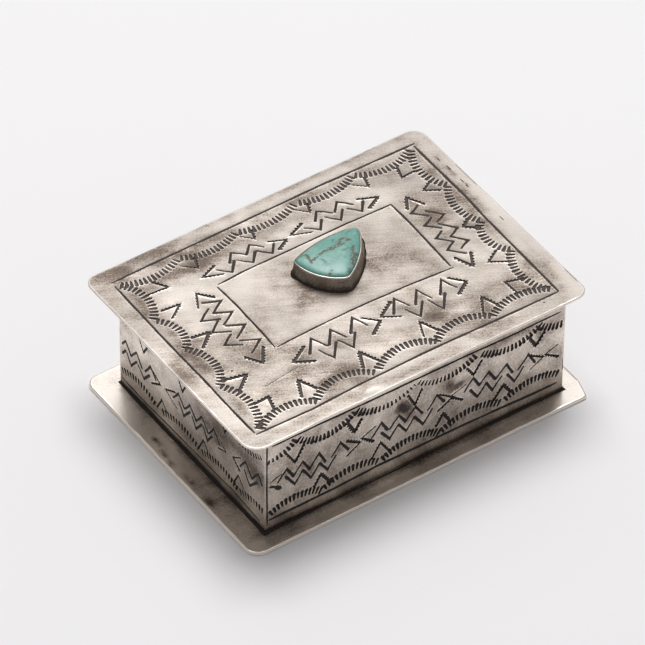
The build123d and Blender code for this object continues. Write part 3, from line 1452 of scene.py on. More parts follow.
    wear: tuple[Punch, ...] = (
        Dent((-13.9, -32.6), (2.3, 1.0), 0.03, oxide=-1.0),
        Dent((36.2, -31.0), (0.22, 0.18)),
        Dent((-36.3, -9.3), (0.3, 0.22)),
        Dent((-26.5, -0.7), (0.16, 0.14)),
        Dent((-28.7, -4.0), (0.14, 0.14)),
        ScribedLine(((-33.0, -17.9), (-23.3, -16.7)), 0.06, depth=0.03),
        Dent((44.5, 23.0), (0.12, 0.7)),
        Dent((44.8, 19.2), (0.14, 1.1)),
        Dent((44.8, 13.8), (0.12, 0.8)),
        Dent((44.7, 11.6), (0.13, 0.5)),
        Dent((44.9, -2.0), (0.10, 0.9)),
    )
    # Tarnish, and painted reflection of the uneven sheet: the brighter patches, such as at the panel's left
    # and at the dent in the front border, are painted sheen and highlight.
    stains_and_painted_light: Rows = (
        (-5.6, 5.5, 2.6, 5.5, 0.5, -8), (0.5, -1.6, 5.5, 2.2, 0.4, -25), (9.5, 3.5, 3.5, 2.5, 0.3, 40),
        (13.5, 7, 5, 4.5, 0.32, 30), (8, -3, 7, 2.5, 0.16, 20), (-11, 5, 3, 8, 0.16),
        (-20, 14, 7, 4, -0.14, -30), (-31, 17, 5, 4, -0.32), (0, -5, 13, 3, -0.2),
        (-27, -14, 8, 4, -0.14, 10), (18, -2, 6, 3, -0.12), (-31, 24.5, 9, 2, 0.4),
        (-17.5, 24.6, 6, 1.9, 0.42), (0, 25.6, 9, 2, 0.38), (11, 24, 6, 2.4, 0.15),
        (31, 23.5, 6, 4, 0.35), (34, 2, 4, 10, 0.2), (31, -18, 7, 5, 0.34), (15, -23.5, 4.5, 2.6, 0.3),
        (4.8, -21.5, 3.2, 2.6, 0.2), (12, -20.3, 2.3, 1.8, 0.75, -20), (-14, -24, 4, 2.2, 0.35),
        (-20.5, -25, 3, 1.8, 0.3), (-32, -22, 3.5, 3, 0.3), (-35, -6, 3, 6, 0.15),
        (-41, -3.5, 2, 6, 0.55), (-41, 9, 2, 5, 0.45), (-41.5, -20, 1.8, 6, 0.5),
        (-41.5, 21, 1.6, 6, 0.3), (0, 30.1, 44, 1, 0.3), (0, -29, 44, 1, 0.2),
        (40.9, 0, 1.6, 30, 0.4), (43.6, 7, 1.3, 7, 0.40), (43.4, -24, 1.2, 4, 0.25),
        (46.2, 0, 2, 60, -0.38), (44.6, 18, 0.5, 2.2, 0.55, 4), (45, 12, 0.4, 1.2, 0.55, 4),
        (44.4, 23.5, 0.5, 1.4, 0.4, 4), (44.8, -13, 0.6, 3, 0.3, 4), (8, 34.8, 40, 0.9, 0.25),
        (12, 32.6, 18, 1, -0.2), (-43, 33.5, 9, 3.4, 0.6), (-28, 33.5, 9, 1.6, 0.30),
        (-45.8, -3, 1.8, 7, 0.14), (-45.8, -18, 2.2, 10, 0.02), (-45.8, 12, 2.2, 16, 0.12),
        (-30, -32, 9, 1.8, 0.42), (-4, -32, 12, 1.8, 0.50), (27, -32, 7, 1.6, 0.30),
        (14, -32.2, 3.5, 1.4, -0.16), (44, -32, 5, 2.4, -0.25), (-13.6, -33.3, 2.2, 1.2, -1.3),
        (-17, 3, 5, 12, 0.12), (19.5, 4, 5, 12, 0.30), (0, -19.6, 40, 2.2, 0.15), (5, 27, 30, 9, -0.10),
    )

    def punches(self) -> list[Punch]:
        """All that is struck into the lid or scribed on it.

        Returns:
            The punches.
        """
        return [
            *self.border,
            *crescents(self.rear_crescents, oxide=0.56),
            *crescents(self.right_crescents, oxide=0.72),
            *crescents(self.front_crescents),
            *crescents(self.left_crescents, oxide=0.70),
            *saw_chevrons(self.valleys + self.arrows),
            *plain_chevrons(self.downs, Leg.SECOND),
            *plain_chevrons(self.ups, Leg.FIRST),
            *plain_chevrons(self.left_rights, Leg.FIRST, thick=0.35, thin=0.28),
            *plain_chevrons(self.left_lefts, Leg.SECOND, thick=0.35, thin=0.28),
            *plain_chevrons(self.right_lefts, Leg.SECOND, thick=0.34, thin=0.29, lip=0.012),
            *plain_chevrons(self.right_rights, Leg.FIRST, thick=0.34, thin=0.29, lip=0.012),
            *self.wear,
        ]

    def build(self) -> list[Piece]:
        """Make the stamped sheet.

        Returns:
            The one sheet.
        """
        low, high = box_mm("lid_plate")
        sheet = Sheet(
            name="lid_sheet_stamped",
            outline=rectangle(low, high, self.corner_radii),
            gauge=high[2] - low[2],
            placement=Placement((0, 0, high[2]), (1, 0, 0), (0, 1, 0)),
            punches=self.punches(),
            clouds=clouds(self.stains_and_painted_light),
            seed=self.seed,
            edge_wear_and_highlight=self.edge_wear_and_highlight,
        )
        return [dress(sheet.build(), self.finish.material(), "lid", "silver_sheet", "lid_plate")]


# The walls, the base and the flange


@dataclass(frozen=True)
class Band:
    """The stamped band on a wall that the photograph doesn't show. It follows the other walls' order.

    It reaches from low to high along the wall. Levels are above the underside of the box.
    """

    low: float
    high: float
    crescent: float = 16.4
    gap: float = 0.2
    top_line: float = 27.4
    hanging: float = 26.0
    hanging_sag: float = 3.0
    upper_apex: float = 19.2
    upper_ends: float = 23.4
    peak: float = 18.4
    waist: float = 15.1
    trough: float = 11.9
    lower_apex: float = 12.2
    lower_ends: float = 8.0
    rising: float = 6.2
    rising_sag: float = 2.1
    bottom_line: float = 4.6
    spread: float = 2.2
    zigzag_start: float = 2.6
    zigzag: float = 26.2
    step: float = 4.5
    arrows_at: float = 23.1

    def scallops(self) -> list[Punch]:
        """Two rows of crescents, the lower one half a crescent further on, and the chevrons between them.

        Returns:
            The punches.
        """
        gap, spread = self.gap, self.spread
        chord = (self.high - self.low) / round((self.high - self.low) / self.crescent)
        made = []
        at = self.low - chord / 2
        while at < self.high:
            start, end = at + gap, at + chord - gap
            made.append(Crescent((start, self.hanging), (end, self.hanging), self.hanging_sag))
            start, end = at + 1.5 * chord - gap, at + chord / 2 + gap
            made.append(Crescent((start, self.rising), (end, self.rising), self.rising_sag))
            at += chord
        at = self.low + chord / 2
        while at < self.high:
            foot = at + chord / 2
            top = (at - spread, self.upper_ends, at, self.upper_apex, at + spread, self.upper_ends)
            bottom = (foot - spread, self.lower_ends, foot, self.lower_apex, foot + spread, self.lower_ends)
            made += saw_chevrons((top, bottom))
            at += chord
        return made

    def zigzags(self) -> list[Punch]:
        """The zigzags along the middle, with a pair of arrows after each.

        Returns:
            The punches.
        """
        made = []
        waist, half = self.waist, self.step / 2
        rise = self.peak - waist
        at = self.low + self.zigzag_start
        while at < self.high:
            tops = [at + self.step * k + (1.1 if k == 3 else 0) for k in range(4)]
            dips = [at + self.step * (k + 0.5) for k in range(3)]
            ups = [(x, waist, x + half, self.peak, x + self.step - 0.2, waist) for x in tops]
            downs = [(x, waist + 0.4, x + half, self.trough, x + self.step, waist + 0.2) for x in dips]
            tip = at + self.arrows_at
            arrows = (
                (tip - 4.3, waist + rise * 0.8, tip + 0.2, waist + 0.4, tip - 4.2, self.trough + 1.3),
                (tip + 4.2, waist + rise * 0.9, tip - 0.2, waist + 1.3, tip + 4.1, self.trough + 1.8),
            )
            made += plain_chevrons(ups, Leg.SECOND) + plain_chevrons(downs, Leg.FIRST)
            made += saw_chevrons(arrows, inner=0.2)
            at += self.zigzag
        return made

    def punches(self) -> list[Punch]:
        """The whole band.

        Returns:
            The punches.
        """
        low, high = self.low, self.high
        return [
            *self.scallops(),
            *self.zigzags(),
            ScribedLine(((low + 2.5, self.top_line), (high - 2.0, self.top_line - 0.4))),
            ScribedLine(((low + 2.0, self.bottom_line), (high - 1.6, self.bottom_line - 0.3))),
        ]


@dataclass(frozen=True)
class Walls:
    """The four stamped walls. Marks are given by the way along a wall and the height.

    One row of crescents hangs from the upper line and one rises from the lower. Saws are the saw-edged
    chevrons, peaks and dips the plain ones of the zigzags. All walls are dark along the foot.
    """

    finish: SilverFinish = SilverFinish(
        "wall_silver", 0.45, bright=(0.90, 0.805, 0.715), black=(0.020, 0.015, 0.012), hairline_turn=60
    )
    front_hanging: Rows = (
        (-48.0, 26.4, -32.8, 26.4, 3.2, 0.1, 1.1), (-32.6, 26.1, -16.4, 26.2, 3.2),
        (-16.4, 26.2, 0.6, 26.0, 2.9, 1.15, 0.45), (1.1, 26.0, 17.6, 25.8, 2.9, 0.65, 1.1),
        (19.0, 25.4, 35.7, 25.3, 2.7), (35.3, 25.6, 50.0, 25.4, 3.0),
    )
    front_rising: Rows = (
        (-25.4, 5.9, -40.3, 6.2, 2.0), (-9.6, 6.4, -25.2, 6.2, 2.05), (7.8, 6.0, -8.8, 6.3, 2.6),
        (25.1, 6.2, 7.9, 6.3, 2.45), (41.8, 6.8, 26.1, 6.6, 2.1),
    )
    front_saws: Rows = (
        (-36.2, 24.5, -33.2, 18.9, -30.7, 23.8, 0.65, 1.0),
        (-18.7, 24.0, -16.5, 19.5, -14.7, 23.1, 1.15, 1.0),
        (-1.6, 23.4, 0.4, 18.8, 2.25, 23.4, 0.75, 0.75),
        (15.1, 22.9, 17.0, 19.4, 19.3, 23.4, 0.8, 0.8),
        (32.75, 23.4, 34.8, 19.2, 37.2, 22.9, 1.1, 0.95),
        (-27.8, 7.9, -25.9, 11.7, -23.0, 6.9),
        (-11.6, 8.1, -9.2, 12.6, -6.8, 8.3, 0.7, 0.7),
        (6.6, 8.6, 8.5, 12.3, 10.7, 7.9), (23.2, 8.1, 25.8, 12.0, 28.0, 8.1),
        (-18.9, 18.0, -14.7, 15.4, -18.8, 13.1, 1.0, 0.55),
        (-10.6, 18.4, -14.8, 16.7, -11.0, 13.8, 0.42, 1.0),
        (7.1, 18.6, 11.6, 15.8, 6.8, 13.5, 0.6, 0.7),
        (15.0, 17.8, 10.2, 16.3, 14.1, 13.4, 0.36, 0.85),
        (33.0, 17.2, 37.4, 14.5, 33.2, 12.6, 0.8, 0.36),
        (41.3, 16.4, 37.4, 15.2, 41.6, 12.5, 0.36, 0.85),
    )
    front_peaks: Rows = (
        (-37.9, 15.1, -35.4, 18.2, -33.4, 14.8), (-33.4, 14.8, -31.0, 18.2, -29.0, 14.5),
        (-29.0, 14.6, -26.5, 18.4, -24.6, 14.6), (-23.0, 15.1, -20.5, 18.5, -18.2, 15.0),
        (-11.6, 15.2, -9.1, 18.6, -7.2, 15.2), (-6.6, 15.1, -4.1, 18.2, -2.1, 15.0),
        (-2.1, 15.0, 0.55, 18.4, 2.7, 15.1), (4.1, 15.3, 6.6, 18.8, 8.8, 15.6),
        (14.5, 15.5, 17.0, 18.6, 18.9, 15.2), (18.9, 15.3, 21.4, 18.2, 23.4, 14.8),
        (23.4, 14.6, 26.5, 17.9, 28.3, 14.3), (29.9, 14.4, 32.75, 17.8, 34.7, 14.2),
    )
    front_dips: Rows = (
        (-35.7, 15.9, -33.2, 12.2, -31.0, 15.5), (-31.0, 15.5, -28.7, 11.8, -26.3, 15.1),
        (-26.3, 15.1, -24.0, 11.7, -21.7, 15.1), (-9.0, 15.3, -6.6, 12.0, -4.2, 15.3),
        (-4.2, 15.3, -1.95, 12.0, 0.3, 15.3), (0.3, 15.3, 2.8, 11.6, 5.4, 15.2),
        (16.2, 15.2, 18.3, 11.9, 20.8, 15.0), (20.8, 15.0, 22.6, 11.7, 25.25, 14.8),
        (26.8, 14.5, 28.9, 11.2, 31.5, 14.7),
    )
    front_lines: tuple[ScribedLine, ...] = (
        ScribedLine(((-40.1, 16.2), (-36.9, 17.4)), 0.2),
        ScribedLine(((-40.1, 15.0), (-38.6, 14.2)), 0.42, depth=0.24),
        ScribedLine(((-38.6, 14.2), (-37.9, 13.6), (-37.0, 12.9)), 0.58, depth=0.24),
        ScribedLine(((-39.5, 27.8), (-12.6, 27.4), (15.4, 27.05), (29.3, 26.7), (41.6, 26.7)), 0.30),
        ScribedLine(
            ((-40.3, 4.5), (-22.1, 4.6), (-10.0, 5.1), (1.3, 4.95), (15.4, 4.95), (33.9, 4.2), (41.3, 4.15)),
            0.40,
        ),
    )
    seam: ScribedLine = ScribedLine(
        ((-40.93, 30.5), (-40.92, 17.0), (-40.88, 3.0)), half=0.22, depth=0.3, lip_width=0.06
    )
    front_stains: Rows = (
        (-3.4, 20.4, 1.5, 1.2, 1.5), (-2.2, 19, 1.5, 1, 1.2), (-0.9, 17.6, 0.7, 1.4, 0.9),
        (12.9, 18.6, 2.2, 1.1, 1.1, 10), (10.2, 20.4, 2, 1, 0.9, -30), (9.6, 14.2, 3, 1, 0.25),
        (29.5, 26.5, 6, 1.1, 0.6), (33.5, 24.4, 3.2, 1, 0.35, -20), (32.5, 10.6, 3, 0.8, 0.3),
        (4.5, 21, 2.6, 2.4, -0.2),
    )
    left_hanging: Rows = (
        *((at, 25.4, at + 16.2, 25.4, 3.0) for at in (-36.0, -19.9, -3.3)),
        (13.7, 25.0, 29.9, 25.0, 3.2, 1.0, 0.6),
    )
    left_rising: Rows = (
        (-15.0, 5.6, -29.4, 5.4, 1.7), (3.3, 5.6, -12.4, 5.4, 1.8), (19.2, 5.8, 4.1, 5.6, 1.8),
        (34.0, 6.0, 19.8, 5.8, 1.5),
    )
    left_saws: Rows = (
        (-14.4, 5.3, -12.4, 9.6, -10.4, 6.8, 0.6, 0.5),
        (3.1, 6.3, 4.9, 10.5, 6.8, 7.9, 0.6, 0.5),
        (17.5, 6.8, 19.4, 11.0, 21.6, 7.9, 0.6, 0.5),
        (-21.6, 22.0, -19.8, 18.5, -18.0, 22.0, 0.5, 0.7),
        (-5.4, 22.0, -3.7, 18.5, -2.2, 22.0, 0.6, 0.6),
        (12.6, 23.0, 13.8, 19.5, 15.2, 23.0, 0.5, 0.5),
        (-16.9, 16.1, -12.6, 13.8, -16.7, 11.4, 0.6, 0.6),
        (-6.6, 16.3, -11.0, 14.0, -5.9, 11.6, 0.6, 0.4),
        (10.5, 16.5, 14.7, 14.0, 10.9, 12.7, 0.45, 0.45),
        (20.5, 17.1, 17.0, 14.8, 20.2, 12.7, 0.4, 0.9),
    )
    left_peaks: Rows = (
        (-28.9, 14.3, -27.4, 16.4, -25.3, 13.1), (-25.3, 13.1, -22.8, 16.3, -20.7, 12.9),
        (-19.4, 12.9, -17.0, 16.5, -14.9, 13.6), (-7.7, 13.8, -5.4, 16.9, -3.2, 13.9),
        (-3.1, 13.8, -0.7, 16.9, 1.8, 13.8), (1.8, 13.8, 4.3, 17.3, 6.6, 14.0),
        (7.05, 14.0, 9.3, 17.4, 11.5, 14.0), (20.0, 14.0, 22.5, 17.5, 24.8, 14.0),
        (24.9, 14.0, 27.6, 17.8, 29.1, 15.3),
    )
    left_dips: Rows = (
        (-27.1, 12.9, -25.3, 10.1, -22.9, 13.2), (-22.4, 12.7, -19.9, 10.1, -17.5, 13.1),
        (-5.4, 14.3, -3.3, 11.4, -0.7, 14.7), (0.0, 14.0, 1.8, 11.3, 4.2, 14.6),
        (4.7, 14.3, 6.5, 11.3, 8.5, 14.3), (21.8, 14.4, 24.1, 11.2, 27.05, 14.6),
    )
    left_lines: tuple[ScribedLine, ...] = (
        ScribedLine(((-29.0, 11.2), (-28.3, 12.2), (-27.4, 13.4)), 0.36, depth=0.22),
        ScribedLine(((-29.2, 28.3), (29.4, 28.3)), 0.30),
        ScribedLine(((-29.2, 3.1), (-20.9, 2.9), (-1.6, 3.4), (17.1, 4.0), (28.4, 3.1)), 0.26),
    )
    # Tarnish, with painted reflection darkening the upper middle and painted light brightening a broad lower
    # patch.
    left_stains_and_painted_light: Rows = (
        (14, 17.5, 7, 5, 0.56), (25, 18, 5, 6.5, 0.62), (4, 18, 7, 5, 0.28),
        (-4, 6.5, 7, 2, 0.14), (-15, 14, 9, 9, -0.40), (-18.5, 21.4, 1.6, 1.2, 0.4),
        (24, 8, 4, 2, -0.10),
    )
    rear_stains: Rows = ((12, 17, 9, 5, 0.25), (-22, 20, 5, 2, 0.4), (-8, 9, 8, 3, -0.15))
    right_stains: Rows = ((-9, 15, 8, 5, 0.28), (16, 21, 4, 2, 0.4), (12, 9, 7, 3, -0.12))
    # Darker along the foot of every wall, where it meets the base.
    foot_darkening: Rows = ((0, 0.6, 400, 1.2, 1.1), (0, 4.5, 400, 2.6, 0.05))

    def front(self) -> list[Punch]:
        """The marks on the front wall.

        Returns:
            The punches.
        """
        return [
            *crescents(self.front_hanging),
            *crescents(self.front_rising),
            *saw_chevrons(self.front_saws, root=0.38, tip=0.74, inner=0.40),
            *plain_chevrons(self.front_peaks, Leg.SECOND, thick=0.42, thin=0.29),
            *plain_chevrons(self.front_dips, Leg.FIRST, thick=0.42, thin=0.29),
            *self.front_lines,
            self.seam,
        ]

    def left(self) -> list[Punch]:
        """The marks on the left wall.

        Returns:
            The punches.
        """
        return [
            *crescents(self.left_hanging),
            *crescents(self.left_rising, length=2.0, narrow=0.48, wide=0.84),
            *saw_chevrons(self.left_saws, root=0.38, tip=0.74, inner=0.40),
            *plain_chevrons(self.left_peaks + self.left_dips, Leg.SECOND, thick=0.42, thin=0.29),
            *self.left_lines,
        ]

    def build(self) -> list[Piece]:
        """Make the four walls.

        Returns:
            The walls.
        """
        material = self.finish.material()
        shown = {Side.FRONT: self.front(), Side.LEFT: self.left()}
        stains_and_painted_light = (self.front_stains, self.right_stains, self.rear_stains, self.left_stains_and_painted_light)
        made = []
        for number, side in enumerate(Side):
            sheet = upright(side, "wall", name=f"{side.value}_wall_stamped", seed=31 + number)
            start, end = sheet.outline[:, 0].min(), sheet.outline[:, 0].max()
            sheet.punches = shown.get(side) or Band(start, end).punches()
            sheet.clouds = clouds(self.foot_darkening + stains_and_painted_light[number])
            sheet.edge_nicks = 0.03
            sheet.held_tarnish = 0.9
            made.append(dress(sheet.build(), material, "box", "silver_sheet", f"{side.value}_wall"))
        return made


@dataclass(frozen=True)
class Base:
    """The base sheet, which stands out past the walls and has one clipped corner.

    It has painted shade along the walls, stains blotched at the left and painted light at the corners.
    """

    finish: SilverFinish = SilverFinish(
        "base_silver", 0.08, 0.30, bright=(0.98, 0.895, 0.815), hairline_turn=8
    )
    radii: tuple[float, ...] = (4.0, 0.8, 0.8, 3.0, 3.2)
    clip: Pair = (1.6, 5.5)
    seed: int = 61
    edge_round: float = 0.42
    # Painted highlight, with wear, along the base's rounded edge.
    edge_wear_and_highlight: float = 1.0
    wave: float = 0.06
    grid: float = 1.3
    # Painted shade along the walls and painted light at the corners beyond their ends and along the front
    # edge; the blotches at the left are stains.
    stains_and_painted_light: Rows = (
        (-41.9, 0, 1.3, 27, 0.9), (0.8, -30.6, 38, 1.7, 0.8), (0, -35.4, 60, 0.8, -0.5),
        (-30, -33, 9, 2.4, 0.18), (37, -33.5, 5, 2.5, -0.4), (-41, -32.5, 5, 3, 0.25),
        (44, 0, 1.5, 26, 0.7), (0.8, 31, 38, 1.5, 0.7), (-45.4, 9, 0.9, 2.2, 1.7),
        (-46.1, 4, 0.7, 1.5, 1.9), (-46.9, 0.3, 0.6, 1.3, 1.8), (-46.1, -6.5, 0.8, 2.4, 1.3),
        (-46.3, -15, 0.8, 2, 1.1), (-45, -18, 4, 12, 0.22), (-45, 31, 6, 7, 0.1),
        (46.5, -32, 6.5, 5, -0.3), (-44.8, 13, 3.4, 15, -0.55), (-44.6, 15.5, 1.2, 2.2, 0.8, -20),
        (-46.5, -34, 5, 3.5, -0.9), (46, 33, 5, 5, -0.5),
    )

    def build(self) -> list[Piece]:
        """Make the base sheet.

        Returns:
            The one sheet.
        """
        low, high = box_mm("base_plate")
        left, front, right, rear = *low[:2], *high[:2]
        clipped = [(right - self.clip[0], front), (right, front + self.clip[1])]
        corners = [(left, front), *clipped, (right, rear), (left, rear)]
        sheet = Sheet(
            name="base_sheet",
            outline=rounded(corners, self.radii),
            gauge=high[2] - low[2],
            placement=Placement((0, 0, high[2]), (1, 0, 0), (0, 1, 0)),
            clouds=clouds(self.stains_and_painted_light),
            seed=self.seed,
            edge_round=self.edge_round,
            edge_wear_and_highlight=self.edge_wear_and_highlight,
            settle=0.0,
            wave=self.wave,
            grid=self.grid,
        )
        return [dress(sheet.build(), self.finish.material(), "box", "silver_sheet", "base_plate")]


@dataclass(frozen=True)
class Flange:
    """The four strips under the lid."""

    finish: SilverFinish = SilverFinish("flange_silver", 0.42)
    edge_round: float = 0.14
    edge_nicks: float = 0.02
    wave: float = 0.03
    grid: float = 1.0

    def build(self) -> list[Piece]:
        """Make the strips.

        Returns:
            The strips.
        """
        material = self.finish.material()
        made = []
        for number, side in enumerate(Side):
            sheet = upright(side, "flange", name=f"{side.value}_flange_strip", seed=81 + number)
            sheet.edge_round, sheet.edge_nicks = self.edge_round, self.edge_nicks
            sheet.settle, sheet.wave, sheet.grid = 0.0, self.wave, self.grid
            foot, root = sheet.outline[:, 1].min(), sheet.outline[:, 1].max()
            sheet.clouds = clouds(((0, root, 400, 1.6, 0.5), (0, foot, 400, 0.5, -0.3)))
            made.append(dress(sheet.build(), material, "lid", "silver_sheet", f"{side.value}_flange"))
        return made


# Solder


@dataclass
class SolderRun:
    """Rough solder in the corner between two faces, along one or more lines.

    Each line has directions out along the one face and up the other. The section is in shares of the
    leg. Each blob has a place by X and Y, a size and how much it thickens the solder.
    """

    name: str
    lines: list[Array]
    outs: list[Array]
    rises: list[Array]
    leg: float
    closed: bool
    seed: int
    rough: float = 0.3
    blobs: Rows = ()
    swells: int = 40
    swelling: Pair = (-1, 0.35)
    lumps: Pair = (-0.12, 0.05)
    worn: Pair = (-0.2, 0.35)
    crease: float = 50
    section: Rows = (
        (-0.14, 1.05), (0.04, 1.02), (0.12, 0.66), (0.27, 0.38), (0.55, 0.18), (0.98, 0.05), (1.0, -0.14),
    )

    def build(self) -> Piece:
        """Make the solder's mesh.

        Returns:
            The new object.
        """
        rows, faces, wear_and_highlight, total = [], [], [], 0
        wide = len(self.section)
        draw = np.random.default_rng(self.seed)
        for line, out, rise in zip(self.lines, self.outs, self.rises):
            count = len(line)
            steps = np.linalg.norm(np.diff(line, axis=0), axis=1)
            travel = np.concatenate([[0], np.cumsum(steps)])
            knots = np.linspace(0, travel[-1], self.swells)
            swell = draw.uniform(*self.swelling, self.swells)
            swell = 1 + self.rough * np.interp(travel, knots, swell)
            for x, y, size, more in self.blobs:
                away = np.hypot(line[:, 0] - x, line[:, 1] - y)
                swell = swell + more * np.exp(-((away / size) ** 2))
            points = np.zeros((count, wide, 3))
            for k, (side, high) in enumerate(self.section):
                uneven = 1 + draw.uniform(*self.lumps, count)[:, None]
                points[:, k] = line + (out * side + rise * high) * (self.leg * swell)[:, None] * uneven
            rows.append(points.reshape(-1, 3))
            wear_and_highlight.append(draw.uniform(*self.worn, count * wide))
            last = count if self.closed else count - 1
            for k in range(last):
                here, ahead = total + k * wide, total + (k + 1) % count * wide
                for j in range(wide):
                    after = (j + 1) % wide
                    faces.append((here + j, ahead + j, ahead + after, here + after))
            if not self.closed:
                faces.append(tuple(total + j for j in range(wide)))
                faces.append(tuple(total + (count - 1) * wide + j for j in reversed(range(wide))))
            total += count * wide
        made = mesh_object(self.name, np.vstack(rows) * MILLIMETRE, faces, self.crease)
        store(made, "wear_and_highlight", np.concatenate(wear_and_highlight))
        return made


def ring_run(low: Array, high: Array, level: float, inward: bool) -> tuple[Array, Array]:
    """A run round a rectangle and the directions across it.

    Args:
        low: the rectangle's lowest corner.
        high: its highest corner.
        level: the run's height.
        inward: whether the directions point into the rectangle.

    Returns:
        The points and the directions.
    """
    ring = rectangle(low, high, spacing=0.8)
    out = mitres(ring) * (-1 if inward else 1)
    flat = np.zeros(len(ring))
    return np.column_stack([ring, flat + level]), np.column_stack([out, flat])


@dataclass(frozen=True)
class Solder:
    """The solder that holds the box together."""

    material: bpy.types.Material
    foot_leg: float = 0.46
    corner_leg: float = 0.72
    flange_leg: float = 0.52
    corner_rings: int = 34

    def foot(self) -> Piece:
        """Solder round the wall foot.

        Returns:
            The solder.
        """
        low, high = box_mm("front_wall")[0], box_mm("rear_wall")[1]
        line, out = ring_run(low, high, low[2], False)
        up = np.tile([0.0, 0.0, 1.0], (len(line), 1))
        blobs = ((low[0], low[1], 2.0, 0.4), (high[0], low[1], 1.5, 0.4))
        blobs += tuple((low[0], y, 5.0, 0.32) for y in (-22, -11, 0, 11, 22))
        blobs += tuple((x, low[1], 8.0, -0.36) for x in (-20, -7, 6, 16))
        run = SolderRun("foot_solder_run", [line], [out], [up], self.foot_leg, True, 5, 0.35, blobs)
        return dress(run.build(), self.material, "box", "solder", "foot_solder")

    def corners(self) -> Piece:
        """Solder up the inside corners.

        Returns:
            The solder.
        """
        low, high = box_mm("corner_solder")
        count = self.corner_rings
        levels = np.linspace(low[2], high[2], count)
        lines, outs, rises = [], [], []
        for x, x_way in ((low[0], 1), (high[0], -1)):
            for y, y_way in ((low[1], 1), (high[1], -1)):
                lines.append(np.column_stack([np.full(count, x), np.full(count, y), levels]))
                ways = [np.tile([x_way, 0.0, 0.0], (count, 1)), np.tile([0.0, y_way, 0.0], (count, 1))]
                if x_way * y_way > 0:
                    ways.reverse()
                outs.append(ways[0])
                rises.append(ways[1])
        run = SolderRun("corner_solder_runs", lines, outs, rises, self.corner_leg, False, 6, 0.3)
        return dress(run.build(), self.material, "box", "solder", "corner_solder")

    def flange(self) -> Piece:
        """Solder round the inside of the flange.

        Returns:
            The solder.
        """
        low, high = box_mm("flange_solder")
        line, out = ring_run(low, high, high[2], True)
        down = np.tile([0.0, 0.0, -1.0], (len(line), 1))
        run = SolderRun("flange_solder_run", [line], [out], [down], self.flange_leg, True, 7, 0.35)
        return dress(run.build(), self.material, "lid", "solder", "flange_solder")

    def build(self) -> list[Piece]:
        """Run all the solder but the bezel's."""
        return [self.foot(), self.corners(), self.flange()]


# The stone and its setting


@dataclass(frozen=True)
class Outline:
    """A ring round an upright axis, given by its radius at each angle."""

    centre: Array
    radii: Array

    def at(self, level: float, grow: float | Array = 0.0, scale: float | Array = 1.0) -> Array:
        """The ring's points.

        Args:
            level: their height.
            grow: how much further out they lie.
            scale: what the radius is multiplied by.

        Returns:
            One row for each angle.
        """
        turns = np.linspace(0, 2 * math.pi, len(self.radii), endpoint=False)
        reach = self.radii * scale + grow
        x = self.centre[0] + reach * np.cos(turns)
        y = self.centre[1] + reach * np.sin(turns)
        return np.column_stack([x, y, np.full(len(turns), level)])

    def towards(self, other: "Outline", share: float) -> "Outline":
        """A ring between this one and another."""
        centre = self.centre + (other.centre - self.centre) * share
        return Outline(centre, self.radii + (other.radii - self.radii) * share)


def outline_of(node: str, level: float) -> Outline:
    """The outermost outline of a node at a level. It has to be convex.

    Args:
        node: the node.
        level: the height, in millimetres.

    Returns:
        The outline.
    """
    points = np.array([v.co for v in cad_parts[node].data.vertices]) / MILLIMETRE
    points = points[np.abs(points[:, 2] - level) < 0.15][:, :2]
    hull = points[convex_hull_2d([Vector(p) for p in points])]
    centre = (hull.min(0) + hull.max(0)) / 2
    samples = 240
    turns = np.linspace(0, 2 * math.pi, samples, endpoint=False)
    ways = np.column_stack([np.cos(turns), np.sin(turns)])
    start = hull - centre
    along = np.roll(start, -1, 0) - start
    across = ways[:, None, 0] * along[None, :, 1] - ways[:, None, 1] * along[None, :, 0]
    across = np.where(np.abs(across) < TINY, TINY, across)
    reach = (start[:, 0] * along[:, 1] - start[:, 1] * along[:, 0]) / across
    share = (start[:, 0] * ways[:, None, 1] - start[:, 1] * ways[:, None, 0]) / across
    met = (share >= -1e-6) & (share <= 1 + 1e-6) & (reach > 0)
    return Outline(centre, np.where(met, reach, 0).max(1))


def skin(rings: list[Array], closed_end: bool = False) -> tuple[Array, list[tuple[int, ...]]]:
    """Join rings of equal length into a skin.

    Args:
        rings: the rings, in order, each counter-clockwise.
        closed_end: whether the last ring is closed by a fan.

    Returns:
        The points and the faces.
    """
    size = len(rings[0])
    faces = []
    for k in range(len(rings) - 1):
        for j in range(size):
            after = (j + 1) % size
            faces.append((k * size + j, k * size + after, (k + 1) * size + after, (k + 1) * size + j))
    points = np.vstack(rings)
    if closed_end:
        points = np.vstack([points, rings[-1].mean(0)])
        last = (len(rings) - 1) * size
        faces.extend((last + j, last + (j + 1) % size, len(points) - 1) for j in range(size))
    return points, faces


